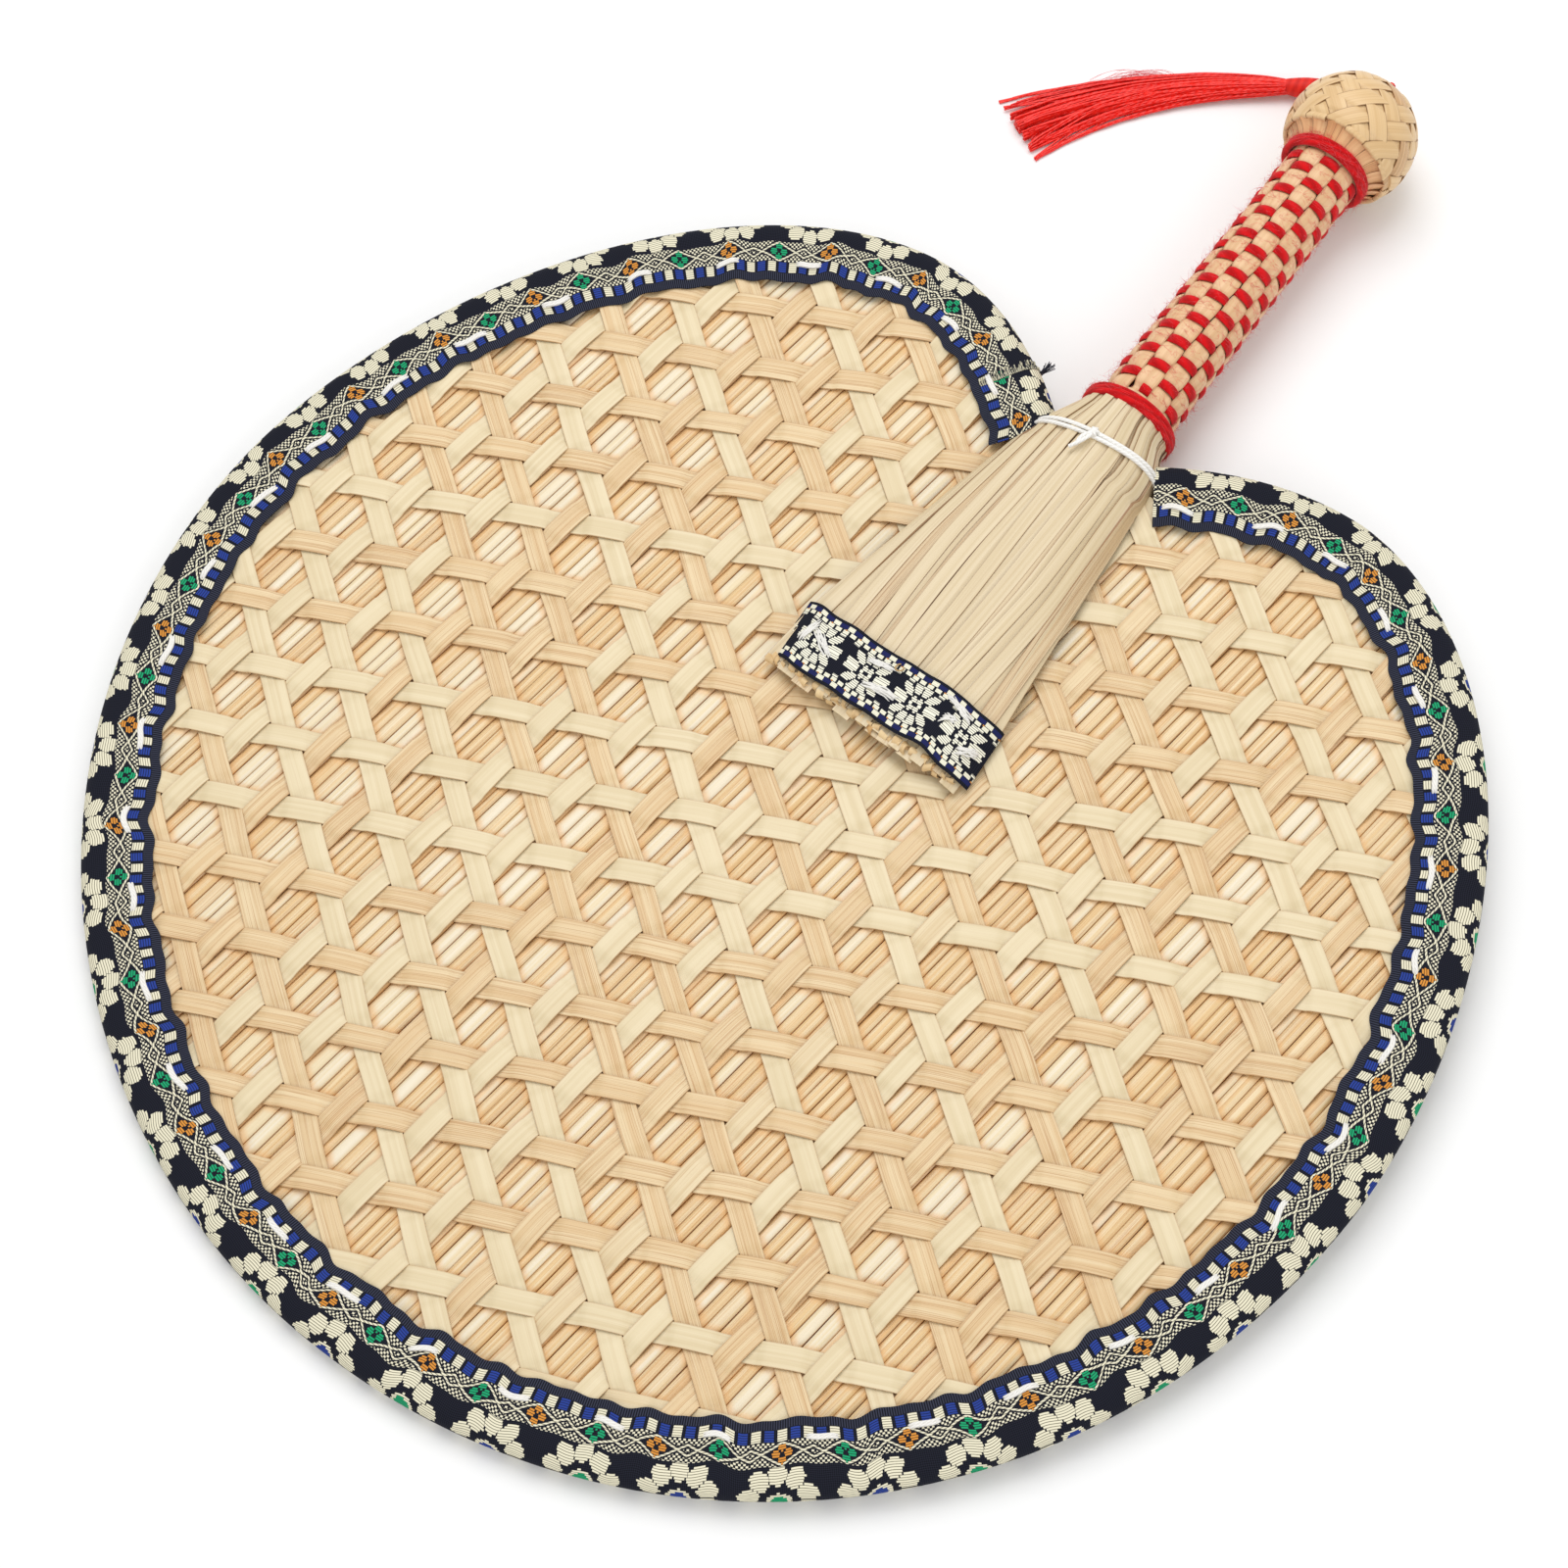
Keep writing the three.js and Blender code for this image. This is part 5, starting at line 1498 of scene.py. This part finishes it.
# Strands: each keeps its share across the skirt, drawn towards the middle of its lock near the end, and
# has its own crimp, length and droop to the table. A few stray past the skirt's sides
def skirtParts():
    share = np.linspace(0, 1, 44)
    middle, side, half = skirtLine(share)
    run = share * tassel["length"]
    lockShift = random.normal(0, tassel["lockScatter"], 2 * tassel["locks"] + 1)
    settle = (1 - share) ** 2
    for _ in range(tassel["strands"]):
        radius, angle = math.sqrt(random.uniform()), random.uniform(0, 2 * np.pi)
        a, b = radius * math.cos(angle), radius * math.sin(angle)
        lock = round(a * tassel["locks"])
        lockPlace = lock / tassel["locks"] + lockShift[lock + tassel["locks"]]
        if random.uniform() < tassel["stray"]:
            lockPlace = random.choice(tassel["strayTo"]) + random.normal(0, 0.02)
        drawn = a + (lockPlace - a) * tassel["drawn"] * share ** 1.7
        across = half * drawn + wander(run, *tassel["sideways"]) * share
        heap = (1 - np.clip(np.abs(drawn), 0, 1) ** 2) * tassel["depth"]
        level = tassel["strand"] + 0.1 + (tassel["radius"] - tassel["strand"]) * settle
        level = level + b * tassel["waist"] * settle + (1 - settle) * (0.5 + 0.5 * b) * heap
        level = level + np.abs(wander(run, *tassel["lift"])) * share
        crimp = tassel["crimp"] * np.sin(run * 2 * np.pi / tassel["crimpLength"] + random.uniform(0, 6.3))
        place = middle + side * (across + crimp)[:, None] + np.array([0, 0, 1]) * (level + crimp)[:, None]
        cut = len(share) - int(abs(random.normal(0, tassel["short"])))
        radius = tassel["strand"] * random.uniform(*tassel["widths"])
        yield strand(place[:cut], radius, 4, tone=random.uniform())


# Loose hairs that stand off the skirt's far side
def wispParts():
    share = np.linspace(0, 1, 60)
    middle, side, half = skirtLine(share)
    for _ in range(wisp["count"]):
        first = random.integers(*wisp["from"])
        piece = slice(first, first + random.integers(*wisp["steps"]))
        bow = np.sin(np.linspace(0, np.pi, len(share[piece]))) * random.uniform(*wisp["bow"])
        across = -half[piece] * random.uniform(*wisp["off"]) - bow
        height = np.array([0, 0, 1]) * random.uniform(*wisp["height"])
        place = middle[piece] + side[piece] * across[:, None] + height
        yield strand(place, wisp["radius"], 4, tone=random.uniform())


makePiece("tasselHead", [headPart()], shadedBoundSilkMaterial, "tassel", replaces=["tassel_head"], **tasselPiece)
makePiece("tasselStrands", skirtParts(), silkMaterial, "tassel", replaces=["tassel_skirt"], **tasselPiece)
makePiece("tasselWisps", wispParts(), fuzzMaterial, "tassel", **tasselPiece)

# Picture

# Camera of the photograph, worked out from the fan's outline: it looks at a point of the blade from
# 732 mm, 26.4 degrees off the blade's normal, and is turned by 80 degrees about its own axis
camera = {
    "target": np.array([-1.1, 153.5, 0]), "distance": 732, "offNormal": math.radians(26.4),
    "tiltDirection": math.radians(-41.646), "roll": math.radians(80), "lens": 78.75,
}


def addCamera():
    towards, sideways = (np.array([*turned(*axis, camera["tiltDirection"]), 0]) for axis in ((1, 0), (0, 1)))
    slope, backwards = turned(towards, np.array([0, 0, 1]), camera["offNormal"])
    right, up = turned(slope, sideways, -camera["roll"])
    data = bpy.data.cameras.new("photoCamera")
    data.lens = camera["lens"]
    place = toRow(camera["target"] + camera["distance"] * backwards)
    axes = [leaned(axis) for axis in (right, up, backwards)]
    bpy.context.scene.camera = addObject("photoCamera", data, axes, place)


# Lamps at places in metres, facing the middle
lamps = [
    {"name": "topLamp", "place": (-0.35, 0.35, 1.1), "size": 0.9, "power": 7.4},
    {"name": "fillLamp", "place": (0.9, -0.6, 0.7), "size": 0.8, "power": 3.2},
]


# Pale floor, one large lamp over it and a weaker one at its side
def addStage():
    floor = bpy.data.meshes.new("floor")
    floor.from_pydata([(-1, -1, 0), (1, -1, 0), (1, 1, 0), (-1, 1, 0)], [], [(0, 1, 2, 3)])
    material, tree = newMaterial("paleFloor")
    setInputs(tree.nodes["Principled BSDF"], {"Base Color": (0.92, 0.92, 0.92, 1), "Roughness": 0.9})
    floor.materials.append(material)
    stage = [addObject("floor", floor)]
    for lamp in lamps:
        data = bpy.data.lights.new(lamp["name"], "AREA")
        data.size = lamp["size"]
        data.energy = lamp["power"]
        backwards = unit(np.array(lamp["place"]))
        side = unit(np.cross([0, 1, 0], backwards))
        axes = (side, np.cross(backwards, side), backwards)
        stage.append(addObject(lamp["name"], data, axes, lamp["place"]))


# White to the camera and to mirrors, and soft grey light to everything else
def addWorld():
    world = bpy.data.worlds.new("studio")
    bpy.context.scene.world = world
    world.use_nodes = True
    tree = world.node_tree
    tree.nodes.clear()
    rays = {value.socket.name: value for value in addNode(tree, "ShaderNodeLightPath", output=None)}
    seen = calc("MAXIMUM", rays["Is Glossy Ray"], rays["Is Transmission Ray"])
    seen = calc("MAXIMUM", rays["Is Camera Ray"], seen)
    soft, white = (
        addNode(tree, "ShaderNodeBackground", {"Color": (1, 1, 1, 1), "Strength": strength})
        for strength in (0.7, 1.0)
    )
    mixed = addNode(tree, "ShaderNodeMixShader", {0: seen, 1: soft, 2: white})
    addNode(tree, "ShaderNodeOutputWorld", {0: mixed}, output=None)


addCamera()
addStage()
addWorld()
bpy.context.scene.view_settings.view_transform = "Standard"
print("camera, floor and lights placed")
